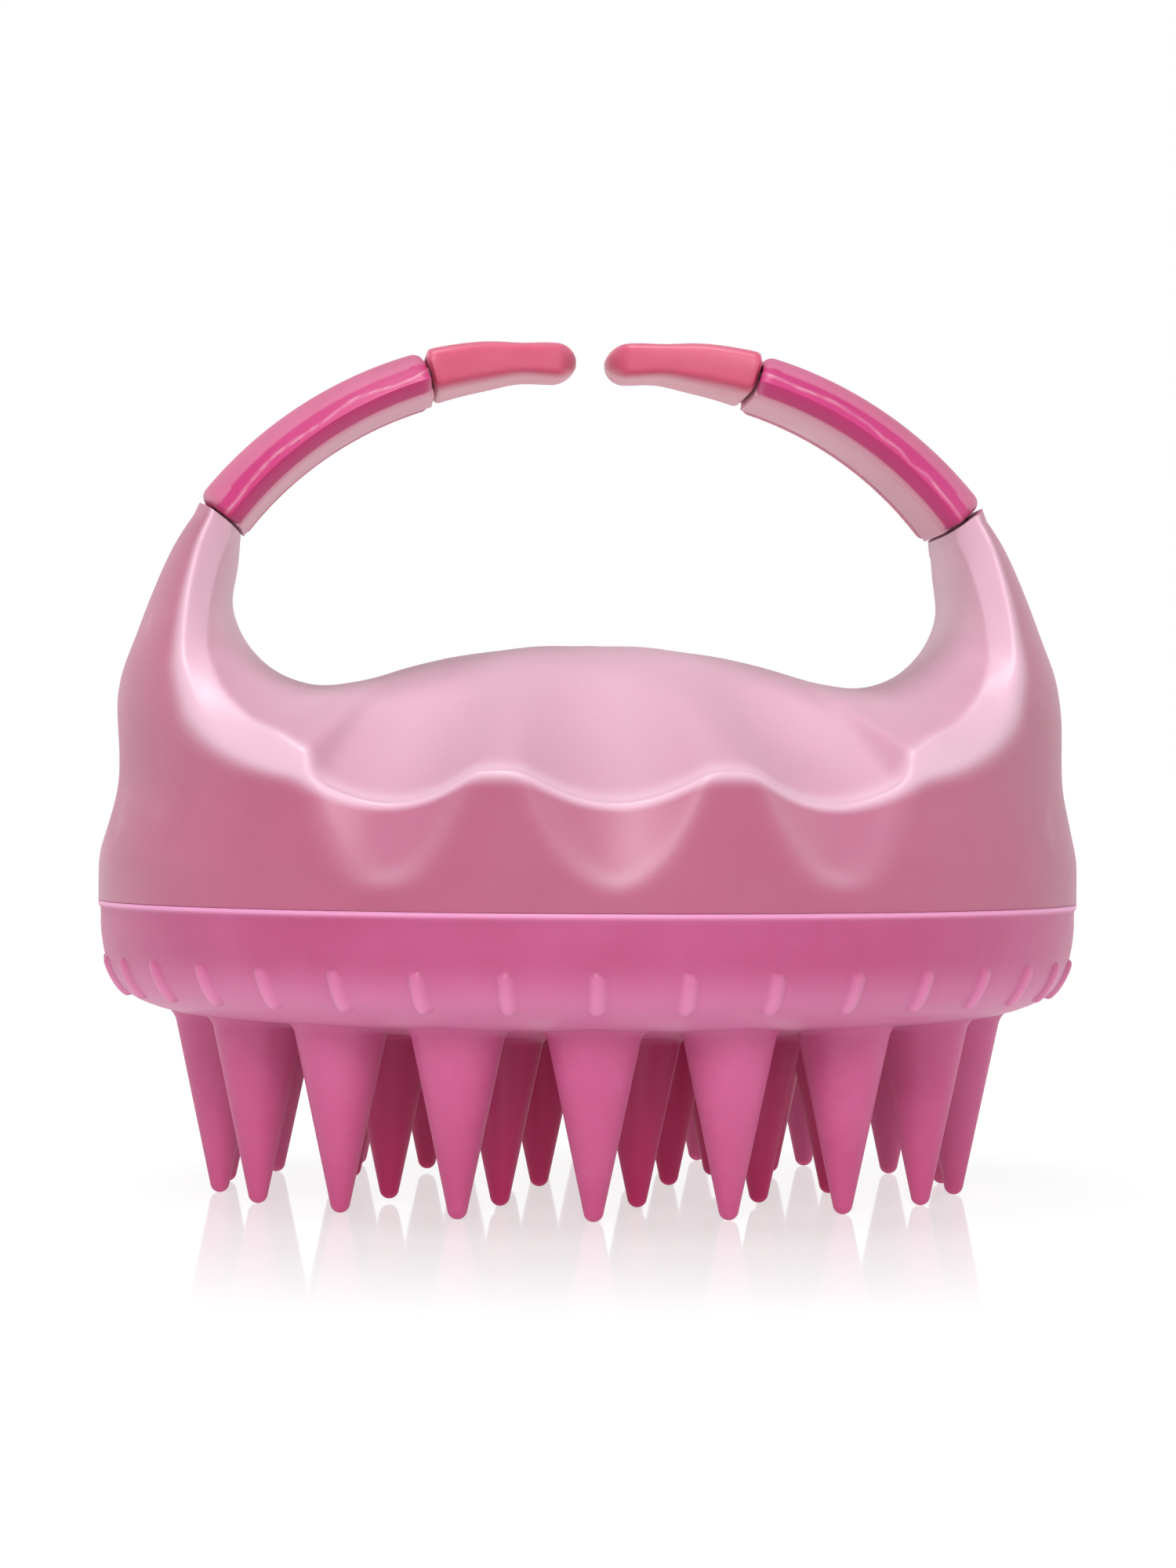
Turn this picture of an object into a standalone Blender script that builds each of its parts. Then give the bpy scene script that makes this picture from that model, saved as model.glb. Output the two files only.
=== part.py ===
# A hand-held scalp massager brush: a round shell with an open finger ring over a silicone bristle pad.
#
# Sizes are in millimetres and become metres when a mesh is made. +Z is up, the ring runs along X, and the
# bristle tips stand on Z = 0. The left and the right arm mirror each other, and so do front and back.

import math

import bmesh
import bpy
import numpy as np
from mathutils import Matrix, Vector

MM = 0.001

# Driving sizes of the whole brush.
BASE_R = 42.5  # widest radius, where shell and pad meet
BRISTLE_LENGTH = 15.6  # outer bristles, from the tips to the pad's edge
PAD_HEIGHT = 9.7  # the pad's side, from its under-edge to its lip
GAP = 0.3  # clearance between touching pieces
PAD_EDGE_Z = BRISTLE_LENGTH
LIP_Z = PAD_EDGE_Z + PAD_HEIGHT
SEAM_Z = LIP_Z + GAP

# Shell: heights are above the seam, insets are from BASE_R.
FLANK = [
    (0, 0),
    (2.6, 0),
    (6, 0.6),
    (10, 1.25),
    (15, 1.35),
    (18.5, 1.8),
    (22.2, 3.1),
    (26.2, 4.6),
    (30.4, 6.5),
    (34, 8.9),
]
FRONT_INSET_SHARE = 0.3  # share of that inset in front and behind,
FRONT_INSET_DEG = 30.0  # up to this angle, with all of it
SIDE_INSET_DEG = 65.0  # from this one on
CREST_H = 22.0  # top of the dome under the fingers
HORN_INSET = 11.45  # the horn's inner face, in from BASE_R
HORN_SWELL_DEG = 4.0  # the horn thickens this far before its end,
HORN_SWELL = 1.25  # by this much on its inner side
SADDLE = [(0, 0), (0.255, 0.5), (0.48, 2.0), (0.64, 3.45), (0.772, 3.8), (0.88, 2.6), (0.963, 0), (1, -3)]
RIDGE = [
    (0, 10.7),
    (20, 10.7),
    (37.5, 10.8),
    (42, 11.4),
    (46.5, 12.4),
    (50.5, 13.7),
    (54, 15.4),
    (57, 17.9),
    (61, 21.4),
    (64, 24.9),
    (66.5, 28.4),
]
RIDGE_END_DEG = 69.5  # where the ridge meets the horn's end,
RIDGE_END_DROP = 1.2  # this far below its outer edge
CORNER_SHARE = 0.68  # share of the ridge beside which the flank's lower edge reaches the side
RIM_BEVEL = 0.9
BAND_FROM_DEG = 33.5  # where the bevelled band starts
# Bevelled band along the horns, by angle from the front: from the ridge to the band's inner line.
BAND = [
    (38, (-1.2, 0.0, 1.7)),
    (43, (-1.7, 0.1, 2.2)),
    (48, (-2.1, 0.3, 1.9)),
    (53, (-2.3, 0.8, 1.7)),
    (57, (-2.2, 1.4, 0.9)),
    (61, (-1.9, 2.1, -0.2)),
    (69.5, (-1.5, 2.5, -1.9)),
]
DOME_POWER = 1.7  # how the dome falls from its crest to the rim,
HORN_POWER = 2.5  # and the horn's inner face to its band
HORN_FROM_DEG = 45.0  # the dome changes into the horn between these angles
HORN_UP_DEG = 65.0
SEAM_SPREAD = 1.25  # how the section lines spread round the seam
WALL_UNDER_DOME = 7.0
CAVITY_INSET = 5.0
SPIGOT_H = 3.2
CUT_PAST = 2.0  # how far a cutter runs past the face it opens

# Finger grooves, three in front and three behind, and a thumb notch on each side.
GROOVE_DEPTH = 2.6  # at the rim
GROOVE_ARC_R = 10.5  # radius of the arc across a groove
GROOVE_LOW_END = 1.3  # height at which a groove runs out on the flank
SIDE_GROOVE_DEG = 25.5
SIDE_GROOVE_TURN_DEG = 15.4
MIDDLE_GROOVE_LENGTH = 26.0  # over the dome, from the rim inwards
SIDE_GROOVE_LENGTH = 25.0
NOTCH_H = 11.2
NOTCH_HALF_HEIGHT = 6.5
NOTCH_HALF_WIDTH = 8.0
NOTCH_DEPTH = 0.9

# Arms: each follows an arc that starts at the horn's end and ends near the middle.
HORN_END_INSET = 10.45  # centre of the horn's end, in from BASE_R
HORN_END_H = 32.4
HORN_END_DEG = 36.1
ARM_CENTRE_X = 4.64
HORN_END_THICKNESS = 4.1
SLEEVE_END_DEG = 73.6
TIP_GAP = 2.5  # between the two tips
ROOT_GAP = 0.55
TIP_JOINT_GAP = 0.5
SLEEVE_OUT_ROOT = 2.6  # outer face, out from the arc, at the root
SLEEVE_OUT_TIP = 2.1
SLEEVE_IN = 2.1
SLEEVE_ROUNDING = 0.8
SLEEVE_HALF_WIDTH = 11.2
SLEEVE_FLAT_HALF = 8.2
SLEEVE_EDGE_IN = 0.9  # the widest line, in from the arc
SLEEVE_CROWN_POWER = 2.6  # how the outer face falls to that line
TIP_THICK = (4.0, 3.0)
TIP_HALF_WIDTH = (9.0, 5.2)
TIP_ROUND_FROM = 0.85  # share of the tip's length where its end starts to close
TIP_END_SHARE = 0.35  # size of the last section beside the full one
TIP_WIDE_POWER = 0.5  # squareness of the tip's section, across
TIP_THICK_POWER = 0.6  # and through its thickness
CORE_HALF_WIDTH = 7.2
CORE_OUT = 0.6  # the core's outer face, out from the arc
NECK_HALF_WIDTH = 5.0
NECK_HALF_THICK = 0.5
BEAD_R = 1.2  # round bead at each end of a core, the hinge of the arm and of its tip
BEAD_IN_HORN = 1.9  # bead's axis, inside the horn's end
BEAD_IN_TIP = 1.7
MOUTH_HALF = 1.1  # half height of a socket's mouth, narrower than the bead

# Pad and bristles.
PAD_WALL = 2.7
PAD_FLOOR = 1.9
PAD_BELLY = 1.8  # how far the pad's middle hangs below its edge
PAD_CHAMFER = 0.3
# The pad's side: share of its height, and inset from BASE_R.
PAD_SIDE = [(0.79, 0.05), (0.6, 0.4), (0.33, 1.2), (0.155, 2.3), (0.046, 4.2)]
# Its underside: share of BASE_R, and share of the belly.
PAD_UNDER = [(0.847, 0.0), (0.612, 0.8), (0.0, 1.0)]
PAD_BEAD_BELOW_LIP = 2.5  # retaining bead inside the pad's wall
PAD_BEAD_IN = 0.9
PAD_BEAD_HALF = 1.1  # half height at the wall
PAD_BEAD_CREST_HALF = 0.4
PAD_CLOCKING_DEG = -2.0  # turn of the pad in its seat
BRISTLE_RINGS = [(18, 32.1, 0.0, 0.0), (12, 22.0, 10.0, 0.25), (6, 11.2, 38.0, 1.0), (1, 0.0, 0.0, 1.2)]
BRISTLE_ROOT_R = 4.1
BRISTLE_TIP_R = 1.05
BRISTLE_FOOT_R = 0.55
BRISTLE_TIP_H = 1.3
BRISTLE_NOSE = (0.35, 0.8)  # share of that height, and the share of BRISTLE_TIP_R there
BRISTLE_SIDES = 8
BRISTLE_SUNK = 1.4  # root inside the pad

# Carrier tray and screws.
TRAY_FLOOR = 2.4
TRAY_WALL = 3.7
SPIGOT_STEP = 1.5  # spigot's radius below the tray's
POST_R = 4.2
POST_H = 1.8
POST_SUNK = 0.6
SCREW_CIRCLE_R = 25.0
SCREW_COUNT = 4
SCREW_R = 1.25
SCREW_LENGTH = 9.0
SCREW_HEAD_R = 2.3
SCREW_HEAD_H = 1.6
SCREW_HEAD_SIDE = 0.55  # share of the head's height before it rounds
SCREW_HEAD_FACE = 0.7  # share of the head's radius that its face keeps
SCREW_POINT = 1.6
SCREW_POINT_R = 0.75
SCREW_SEAT_GAP = 0.05
DRIVE_ARM = 1.2  # cross slot in the head: half its span, half its width, and its depth
DRIVE_HALF = 0.3
DRIVE_DEPTH = 0.8
BOSS_R = 3.0
BOSS_IN_ROOF = 0.5
PILOT_PAST = 1.0  # pilot hole beyond the screw's point

# Places that follow from the sizes above.
PAD_FLOOR_Z = PAD_EDGE_Z + PAD_FLOOR
PAD_IN_R = BASE_R - PAD_WALL
TRAY_Z = PAD_FLOOR_Z + GAP
TRAY_R = PAD_IN_R - GAP
SPIGOT_R = TRAY_R - SPIGOT_STEP
POST_TOP_Z = TRAY_Z + TRAY_FLOOR + POST_H
HEAD_SEAT_Z = TRAY_Z + GAP + SCREW_HEAD_H
ARM_R = (BASE_R - HORN_END_INSET - ARM_CENTRE_X) / math.cos(math.radians(HORN_END_DEG))
ARM_CENTRE_Z = SEAM_Z + HORN_END_H - ARM_R * math.sin(math.radians(HORN_END_DEG))
TIP_END_DEG = math.degrees(math.acos((TIP_GAP / 2 - ARM_CENTRE_X) / ARM_R))

LIGHT_PINK = ((0.80, 0.36, 0.50), 0.42)
DEEP_PINK = ((0.74, 0.12, 0.34), 0.38)
PAD_PINK = ((0.72, 0.15, 0.36), 0.5)
SALMON = ((0.80, 0.20, 0.33), 0.32)
STEEL = ((0.62, 0.62, 0.64), 0.35)


# ---- general helpers -------------------------------------------------------------------------


def clear_scene():
    for obj in list(bpy.data.objects):
        bpy.data.objects.remove(obj, do_unlink=True)


def new_collection(name):
    made = bpy.data.collections.new(name)
    bpy.context.scene.collection.children.link(made)
    return made


def material(name, look, metallic=0.0):
    colour, roughness = look
    made = bpy.data.materials.new(name)
    made.use_nodes = True
    shader = made.node_tree.nodes["Principled BSDF"]
    shader.inputs["Base Color"].default_value = (*colour, 1)
    shader.inputs["Roughness"].default_value = roughness
    shader.inputs["Metallic"].default_value = metallic
    return made


def add_object(name, bm, collection, finish=None):
    """An object from a bmesh in millimetres, scaled to metres."""
    bmesh.ops.scale(bm, vec=(MM, MM, MM), verts=bm.verts)
    mesh = bpy.data.meshes.new(name)
    bm.to_mesh(mesh)
    bm.free()
    obj = bpy.data.objects.new(name, mesh)
    collection.objects.link(obj)
    if finish:
        mesh.materials.append(finish)
    else:
        obj.hide_render = True
        obj.display_type = "WIRE"
    return obj


def boolean(obj, operation, cutter):
    modifier = obj.modifiers.new(f"{operation} {cutter.name}", "BOOLEAN")
    modifier.operation = operation
    modifier.solver = "EXACT"
    modifier.object = cutter


def shade(obj, angle_deg=35):
    obj.data.shade_smooth()
    obj.data.set_sharp_from_angle(angle=math.radians(angle_deg))


def smooth_curve(knots, at):
    """Values of a smooth curve through the knots (x, y), with no overshoot between them."""
    x, y = np.array(knots, float).T
    step = np.diff(x)
    slope = np.diff(y) / step
    tangent = np.zeros(len(x))
    same_way = slope[:-1] * slope[1:] > 0
    left, right = 2 * step[1:] + step[:-1], step[1:] + 2 * step[:-1]
    with np.errstate(divide="ignore", invalid="ignore"):
        harmonic = (left + right) / (left / slope[:-1] + right / slope[1:])
    tangent[1:-1] = np.where(same_way, harmonic, 0)
    tangent[0], tangent[-1] = slope[0], slope[-1]
    at = np.clip(at, x[0], x[-1])
    i = np.clip(np.searchsorted(x, at, side="right") - 1, 0, len(step) - 1)
    u = (at - x[i]) / step[i]
    return (
        y[i] * (1 + 2 * u) * (1 - u) ** 2
        + tangent[i] * step[i] * u * (1 - u) ** 2
        + y[i + 1] * u**2 * (3 - 2 * u)
        + tangent[i + 1] * step[i] * u**2 * (u - 1)
    )


def along(points, share):
    """Points of a smooth path through the given points, at shares 0 to 1 of its chord length."""
    points = np.array(points, float)
    length = np.concatenate([[0], np.cumsum(np.linalg.norm(np.diff(points, axis=0), axis=1))])
    length /= length[-1]
    fine = np.linspace(0, 1, 400)
    path = np.stack([catmull_rom(length, points[:, k], fine) for k in range(points.shape[1])], 1)
    travelled = np.concatenate([[0], np.cumsum(np.linalg.norm(np.diff(path, axis=0), axis=1))])
    travelled /= travelled[-1]
    return np.stack([np.interp(share, travelled, path[:, k]) for k in range(path.shape[1])], -1)


def catmull_rom(x, y, at):
    tangent = np.gradient(y, x)
    i = np.clip(np.searchsorted(x, at, side="right") - 1, 0, len(x) - 2)
    step = x[i + 1] - x[i]
    u = (at - x[i]) / step
    return (
        y[i] * (1 + 2 * u) * (1 - u) ** 2
        + tangent[i] * step * u * (1 - u) ** 2
        + y[i + 1] * u**2 * (3 - 2 * u)
        + tangent[i + 1] * step * u**2 * (u - 1)
    )


def loft(rings):
    """A closed solid through rings of equal point count, with its two ends capped."""
    bm = bmesh.new()
    rows = [[bm.verts.new(point) for point in ring] for ring in rings]
    for first, second in zip(rows, rows[1:]):
        count = len(first)
        for k in range(count):
            nxt = (k + 1) % count
            bm.faces.new((first[k], first[nxt], second[nxt], second[k]))
    bm.faces.new(rows[0][::-1])
    bm.faces.new(rows[-1])
    bmesh.ops.remove_doubles(bm, verts=bm.verts, dist=1e-4)
    bmesh.ops.recalc_face_normals(bm, faces=bm.faces)
    return bm


def turned(name, profile, steps, collection, finish=None):
    """A solid of revolution about Z from a profile (radius, height) that runs down its outer side."""
    bm = bmesh.new()
    verts = [bm.verts.new((radius, 0, height)) for radius, height in profile]
    for first, second in zip(verts, verts[1:]):
        bm.edges.new((first, second))
    obj = add_object(name, bm, collection, finish)
    screw = obj.modifiers.new("turn", "SCREW")
    screw.steps = screw.render_steps = steps
    screw.use_merge_vertices = True
    screw.merge_threshold = 0.00001
    return obj


def cylinder(bm, radius, low, high, x=0.0, y=0.0, sides=16):
    made = bmesh.ops.create_cone(
        bm, cap_ends=True, segments=sides, radius1=radius, radius2=radius, depth=high - low
    )
    bmesh.ops.translate(bm, vec=(x, y, (low + high) / 2), verts=made["verts"])


def screw_places():
    for k in range(SCREW_COUNT):
        angle = math.radians(45 + 360 / SCREW_COUNT * k)
        yield SCREW_CIRCLE_R * math.cos(angle), SCREW_CIRCLE_R * math.sin(angle)


# ---- shell -----------------------------------------------------------------------------------


def flank_radius(height, angle_deg):
    to_side = smooth_step(np.abs(angle_deg), FRONT_INSET_DEG, SIDE_INSET_DEG)
    return BASE_R - smooth_curve(FLANK, height) * (FRONT_INSET_SHARE + (1 - FRONT_INSET_SHARE) * to_side)


def arm_point(angle_deg, out=0.0):
    """(x, z) on the right arm's arc, moved outwards from its centre line."""
    angle = math.radians(angle_deg)
    return (
        ARM_CENTRE_X + (ARM_R + out) * math.cos(angle),
        ARM_CENTRE_Z + (ARM_R + out) * math.sin(angle),
    )


def on_flank(angle_deg, height, dent=0.0):
    """Points on the shell's round flank, by angle from the front and height above the seam."""
    radius = flank_radius(height, angle_deg) - dent
    angle = np.radians(angle_deg)
    return np.stack([radius * np.sin(angle), -radius * np.cos(angle), SEAM_Z + height], -1)


def crest_path(share):
    """The middle line of the shell's upper side: over the dome and up the horn's inner face."""
    width = BASE_R - HORN_INSET
    points = [(width * x, SEAM_Z + CREST_H - drop) for x, drop in SADDLE]
    points.append(arm_point(HORN_END_DEG - HORN_SWELL_DEG, -HORN_END_THICKNESS / 2 - HORN_SWELL))
    points.append(arm_point(HORN_END_DEG, -HORN_END_THICKNESS / 2))
    at = along(points, share)
    return np.stack([at[..., 0], 0 * share, at[..., 1]], -1)


def horn_end_height():
    """Height above the seam of the horn's outer end, in the plane that its end lies in."""
    slope = math.tan(math.radians(HORN_END_DEG))
    height = HORN_END_H
    for _ in range(20):
        height = ARM_CENTRE_Z - SEAM_Z + (flank_radius(height, 90) - ARM_CENTRE_X) * slope
    return float(height)


def ridge_path(share):
    """(angle, height) of the ridge between flank and upper side, from the front to the horn's end."""
    end = horn_end_height()
    knots = RIDGE + [(RIDGE_END_DEG, end - RIDGE_END_DROP)]
    arc = [(BASE_R * math.radians(angle), height) for angle, height in knots]
    at = along(arc, share)
    return np.degrees(at[..., 0] / BASE_R), at[..., 1]


def smooth_step(value, low, high):
    u = np.clip((value - low) / (high - low), 0, 1)
    return u * u * (3 - 2 * u)


def groove_axes():
    """Each groove of one front quarter: rim angle, turn of its axis, and its length over the dome."""
    yield 0.0, 0.0, MIDDLE_GROOVE_LENGTH
    yield SIDE_GROOVE_DEG, SIDE_GROOVE_TURN_DEG, SIDE_GROOVE_LENGTH


def top_dent(x, y):
    """Depth of the finger grooves in the upper side: it falls off along the groove, with an arc across."""
    rim_r = flank_radius(RIDGE[0][1], 0)
    depth = np.zeros_like(x)
    for rim_deg, turn_deg, length in groove_axes():
        turn, at = math.radians(turn_deg), math.radians(rim_deg)
        dx, dy = np.abs(x) - rim_r * math.sin(at), np.abs(y) - rim_r * math.cos(at)
        inwards = np.clip(-(dx * math.sin(turn) + dy * math.cos(turn)) / length, 0, 1)
        crosswise = dx * math.cos(turn) - dy * math.sin(turn)
        dish = GROOVE_DEPTH * (1 - inwards**2) - crosswise**2 / (2 * GROOVE_ARC_R)
        depth = np.maximum(depth, dish)
    return depth


def flank_dent(angle_deg, height):
    """Depth of the grooves' lower ends and of the thumb notch in the flank."""
    rise = (height - GROOVE_LOW_END) / (RIDGE[0][1] - GROOVE_LOW_END)
    depth = np.zeros_like(height)
    for rim_deg, _, _ in groove_axes():
        across = np.radians(np.abs(angle_deg) - rim_deg) * BASE_R
        depth = np.maximum(depth, GROOVE_DEPTH * rise - across**2 / (2 * GROOVE_ARC_R))
    across = np.radians(np.abs(angle_deg) - 90) * BASE_R / NOTCH_HALF_WIDTH
    up = (height - NOTCH_H) / NOTCH_HALF_HEIGHT
    return np.maximum(depth, NOTCH_DEPTH * (1 - across**2 - up**2))


def shell_section(share, rows_top=8, rows_flank=6):
    """One cross-line of the right front quarter: from the crest over the ridge down to the seam."""
    crest = crest_path(np.array(share))
    angle, height = ridge_path(np.array(share))
    end = horn_end_height()
    if share < CORNER_SHARE:
        low_angle, low_height = 90 * (share / CORNER_SHARE) ** SEAM_SPREAD, 0.0
    else:
        low_angle, low_height = 90.0, end * (share - CORNER_SHARE) / (1 - CORNER_SHARE)
    sunk = top_dent(*on_flank(angle, height)[:2])
    rim = on_flank(angle, height - sunk, flank_dent(angle, height - sunk))
    widen = smooth_step(angle, BAND_FROM_DEG, BAND[0][0])
    band = [smooth_curve([(deg, offset[k]) for deg, offset in BAND], angle) for k in range(3)]
    inner = rim + np.array([0, RIM_BEVEL, RIM_BEVEL / 3]) * (1 - widen) + np.array(band) * widen
    undented = inner + np.array([0, 0, top_dent(*inner[:2])])
    s = np.linspace(0, 1, rows_top + 1)[:, None]
    bend = DOME_POWER + (HORN_POWER - DOME_POWER) * smooth_step(angle, HORN_FROM_DEG, HORN_UP_DEG)
    top = crest + (undented - crest) * np.where([True, False, True], s**bend, s)
    top[:, 2] -= top_dent(top[:, 0], top[:, 1])
    s = np.linspace(0, 1, rows_flank + 1)
    flank_angle = angle + (low_angle - angle) * s
    flank_height = height - sunk + (low_height - height + sunk) * s
    flank = on_flank(flank_angle, flank_height, flank_dent(flank_angle, flank_height))
    return np.concatenate([top, flank])


def shell_ring(share):
    """A closed ring round the right half of the shell: front quarter-line, then its mirror image behind."""
    front = shell_section(share)
    if share >= 1:
        slope = math.tan(math.radians(HORN_END_DEG))
        front[:, 2] = ARM_CENTRE_Z + (front[:, 0] - ARM_CENTRE_X) * slope
    back = front[:0:-1] * (1, -1, 1)
    return np.concatenate([front, back])


def make_shell(collection, cutters, finish):
    stations = 30
    shares = np.linspace(0, 1, stations + 1)
    right = [shell_ring(share) for share in shares]
    left = [ring * (-1, 1, 1) for ring in right[:0:-1]]
    bm = loft(left + right)
    shell = add_object("handle_shell", bm, collection, finish)
    cavity_r = BASE_R - CAVITY_INSET
    cavity_h = CREST_H - WALL_UNDER_DOME
    steps = np.linspace(0, math.pi / 2, 9)
    dome = [(cavity_r * math.sin(a), SEAM_Z + cavity_h * math.cos(a)) for a in steps[:-1]]
    low = SEAM_Z - CUT_PAST
    bore = SPIGOT_R + GAP
    step_z = SEAM_Z + SPIGOT_H + GAP
    dome = [point for point in dome if point[1] > step_z + GAP]
    edge = cavity_r * math.sqrt(1 - ((step_z - SEAM_Z) / cavity_h) ** 2)
    profile = dome + [(edge, step_z), (bore, step_z), (bore, low), (0, low)]
    cavity = turned("cavity_cutter", profile, 48, cutters)
    boolean(shell, "DIFFERENCE", cavity)
    boolean(shell, "UNION", make_bosses(cutters))
    boolean(shell, "DIFFERENCE", make_pilot_holes(cutters))
    for side in (-1, 1):
        socket = socket_shape(f"horn_socket_{side}", side, horn_bead_deg(), 1, cutters)
        boolean(shell, "DIFFERENCE", socket)
    shade(shell)
    return shell


def make_bosses(cutters):
    bm = bmesh.new()
    cavity_r, cavity_h = BASE_R - CAVITY_INSET, CREST_H - WALL_UNDER_DOME
    roof = cavity_h * math.sqrt(1 - ((SCREW_CIRCLE_R - BOSS_R) / cavity_r) ** 2)
    for x, y in screw_places():
        cylinder(bm, BOSS_R, POST_TOP_Z + GAP, SEAM_Z + roof + BOSS_IN_ROOF, x, y, sides=12)
    return add_object("boss_shapes", bm, cutters)


def make_pilot_holes(cutters):
    bm = bmesh.new()
    for x, y in screw_places():
        high = HEAD_SEAT_Z + SCREW_LENGTH + PILOT_PAST
        cylinder(bm, SCREW_R + GAP, POST_TOP_Z - CUT_PAST, high, x, y, sides=12)
    return add_object("pilot_hole_cutters", bm, cutters)


# ---- arms ------------------------------------------------------------------------------------


def arc_rings(side, angles_deg, outline):
    """Rings along an arm's arc. outline(k) gives the (y, out) points of ring k."""
    rings = []
    for k, angle in enumerate(angles_deg):
        ring = []
        for y, out in outline(k):
            x, z = arm_point(angle, out)
            ring.append((side * x, y, z))
        rings.append(ring)
    return rings


def arc_deg(length):
    """The angle that a length along an arm's arc takes."""
    return math.degrees(length / ARM_R)


def horn_bead_deg():
    return HORN_END_DEG - arc_deg(BEAD_IN_HORN)


def tip_bead_deg():
    return SLEEVE_END_DEG + arc_deg(TIP_JOINT_GAP / 2 + BEAD_IN_TIP)


def cross_cylinder(name, side, angle_deg, radius, half_width, collection):
    """A cylinder across an arm, with its axis along Y through the arc."""
    x, z = arm_point(angle_deg)
    bm = bmesh.new()
    made = bmesh.ops.create_cone(
        bm, cap_ends=True, segments=16, radius1=radius, radius2=radius, depth=2 * half_width
    )["verts"]
    bmesh.ops.rotate(bm, verts=made, matrix=Matrix.Rotation(math.radians(90), 3, "X"))
    bmesh.ops.translate(bm, vec=(side * x, 0, z), verts=made)
    return add_object(name, bm, collection)


def put_origin(obj, side, bead_deg):
    """Moves an arm piece's origin onto the axis it bends about, and leaves its mesh where it is."""
    x, z = arm_point(bead_deg)
    pivot = Vector((side * x * MM, 0, z * MM))
    obj.data.transform(Matrix.Translation(-pivot))
    obj.location = pivot


def socket_shape(name, side, bead_deg, way, cutters):
    """The hollow that a bead sits in, with its mouth running out of the piece (way is -1 or 1)."""
    socket = cross_cylinder(name, side, bead_deg, BEAD_R + GAP, NECK_HALF_WIDTH + GAP, cutters)
    wide = NECK_HALF_WIDTH + GAP
    outline = [(-wide, -MOUTH_HALF), (wide, -MOUTH_HALF), (wide, MOUTH_HALF), (-wide, MOUTH_HALF)]
    reach = arc_deg(max(BEAD_IN_HORN, BEAD_IN_TIP) + ROOT_GAP)
    angles = np.linspace(bead_deg, bead_deg + way * reach, 4)
    mouth = add_object(f"{name}_mouth", loft(arc_rings(side, angles, lambda k: outline)), cutters)
    boolean(socket, "UNION", mouth)
    return socket


def sleeve_span():
    return (
        HORN_END_DEG + arc_deg(ROOT_GAP),
        SLEEVE_END_DEG - arc_deg(TIP_JOINT_GAP / 2),
    )


def make_core(side, name, collection, cutters, finish):
    """The hard link of an arm: a bar open to the ring's inside, with a neck and a bead at each end."""
    low, high = sleeve_span()
    neck, bar = NECK_HALF_WIDTH, CORE_HALF_WIDTH
    thin, thick = (-NECK_HALF_THICK, NECK_HALF_THICK), (-SLEEVE_IN, CORE_OUT)
    sections = [(horn_bead_deg(), neck, thin), (low, neck, thin)]
    sections += [(angle, bar, thick) for angle in np.linspace(low, high, 11)]
    sections += [(high, neck, thin), (tip_bead_deg(), neck, thin)]

    def outline(k):
        _, half, (inner, outer) = sections[k]
        return [(-half, inner), (half, inner), (half, outer), (-half, outer)]

    bm = loft(arc_rings(side, [section[0] for section in sections], outline))
    core = add_object(name, bm, collection, finish)
    put_origin(core, side, horn_bead_deg())
    for end, angle in (("root", horn_bead_deg()), ("tip", tip_bead_deg())):
        bead = cross_cylinder(f"{name}_{end}_bead", side, angle, BEAD_R, NECK_HALF_WIDTH, cutters)
        boolean(core, "UNION", bead)
    shade(core)
    return core


def sleeve_outline(share, inset):
    """(y, out) points round the grip sleeve: crowned outer face, bevel below the widest line, channel."""
    crown = SLEEVE_OUT_ROOT + (SLEEVE_OUT_TIP - SLEEVE_OUT_ROOT) * share - inset
    wide = SLEEVE_HALF_WIDTH - inset
    points = []
    for y in np.linspace(-1, 1, 9):
        drop = (crown + SLEEVE_EDGE_IN) * abs(y) ** SLEEVE_CROWN_POWER
        points.append((wide * y, crown - drop))
    inner = SLEEVE_IN - inset
    channel, roof = CORE_HALF_WIDTH + GAP, CORE_OUT + GAP
    points += [(SLEEVE_FLAT_HALF, -inner), (channel, -inner), (channel, roof)]
    points += [(-channel, roof), (-channel, -inner), (-SLEEVE_FLAT_HALF, -inner)]
    return points


def make_sleeve(side, name, collection, finish):
    low, high = sleeve_span()
    step = arc_deg(SLEEVE_ROUNDING)
    angles = np.concatenate([[low], np.linspace(low + step, high - step, 9), [high]])
    insets = [SLEEVE_ROUNDING / 2] + [0.0] * 9 + [SLEEVE_ROUNDING / 2]
    shares = (angles - low) / (high - low)
    bm = loft(arc_rings(side, angles, lambda k: sleeve_outline(shares[k], insets[k])))
    sleeve = add_object(name, bm, collection, finish)
    put_origin(sleeve, side, horn_bead_deg())
    shade(sleeve)
    return sleeve


def tip_outline(share, points=16):
    """(y, out) points round an arm tip: a flat oval that thins and narrows, and closes round at its end."""
    thick = (TIP_THICK[0] + (TIP_THICK[1] - TIP_THICK[0]) * share) / 2
    half = TIP_HALF_WIDTH[0] + (TIP_HALF_WIDTH[1] - TIP_HALF_WIDTH[0]) * share
    past = max(0.0, (share - TIP_ROUND_FROM) / (1 - TIP_ROUND_FROM))
    close = max(math.sqrt(1 - past**2), TIP_END_SHARE)
    angles = np.linspace(0, 2 * math.pi, points, endpoint=False)
    c, s = np.cos(angles), np.sin(angles)
    y = half * np.sign(c) * np.abs(c) ** TIP_WIDE_POWER * close
    out = thick * np.sign(s) * np.abs(s) ** TIP_THICK_POWER * close
    return list(zip(y, out))


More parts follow.
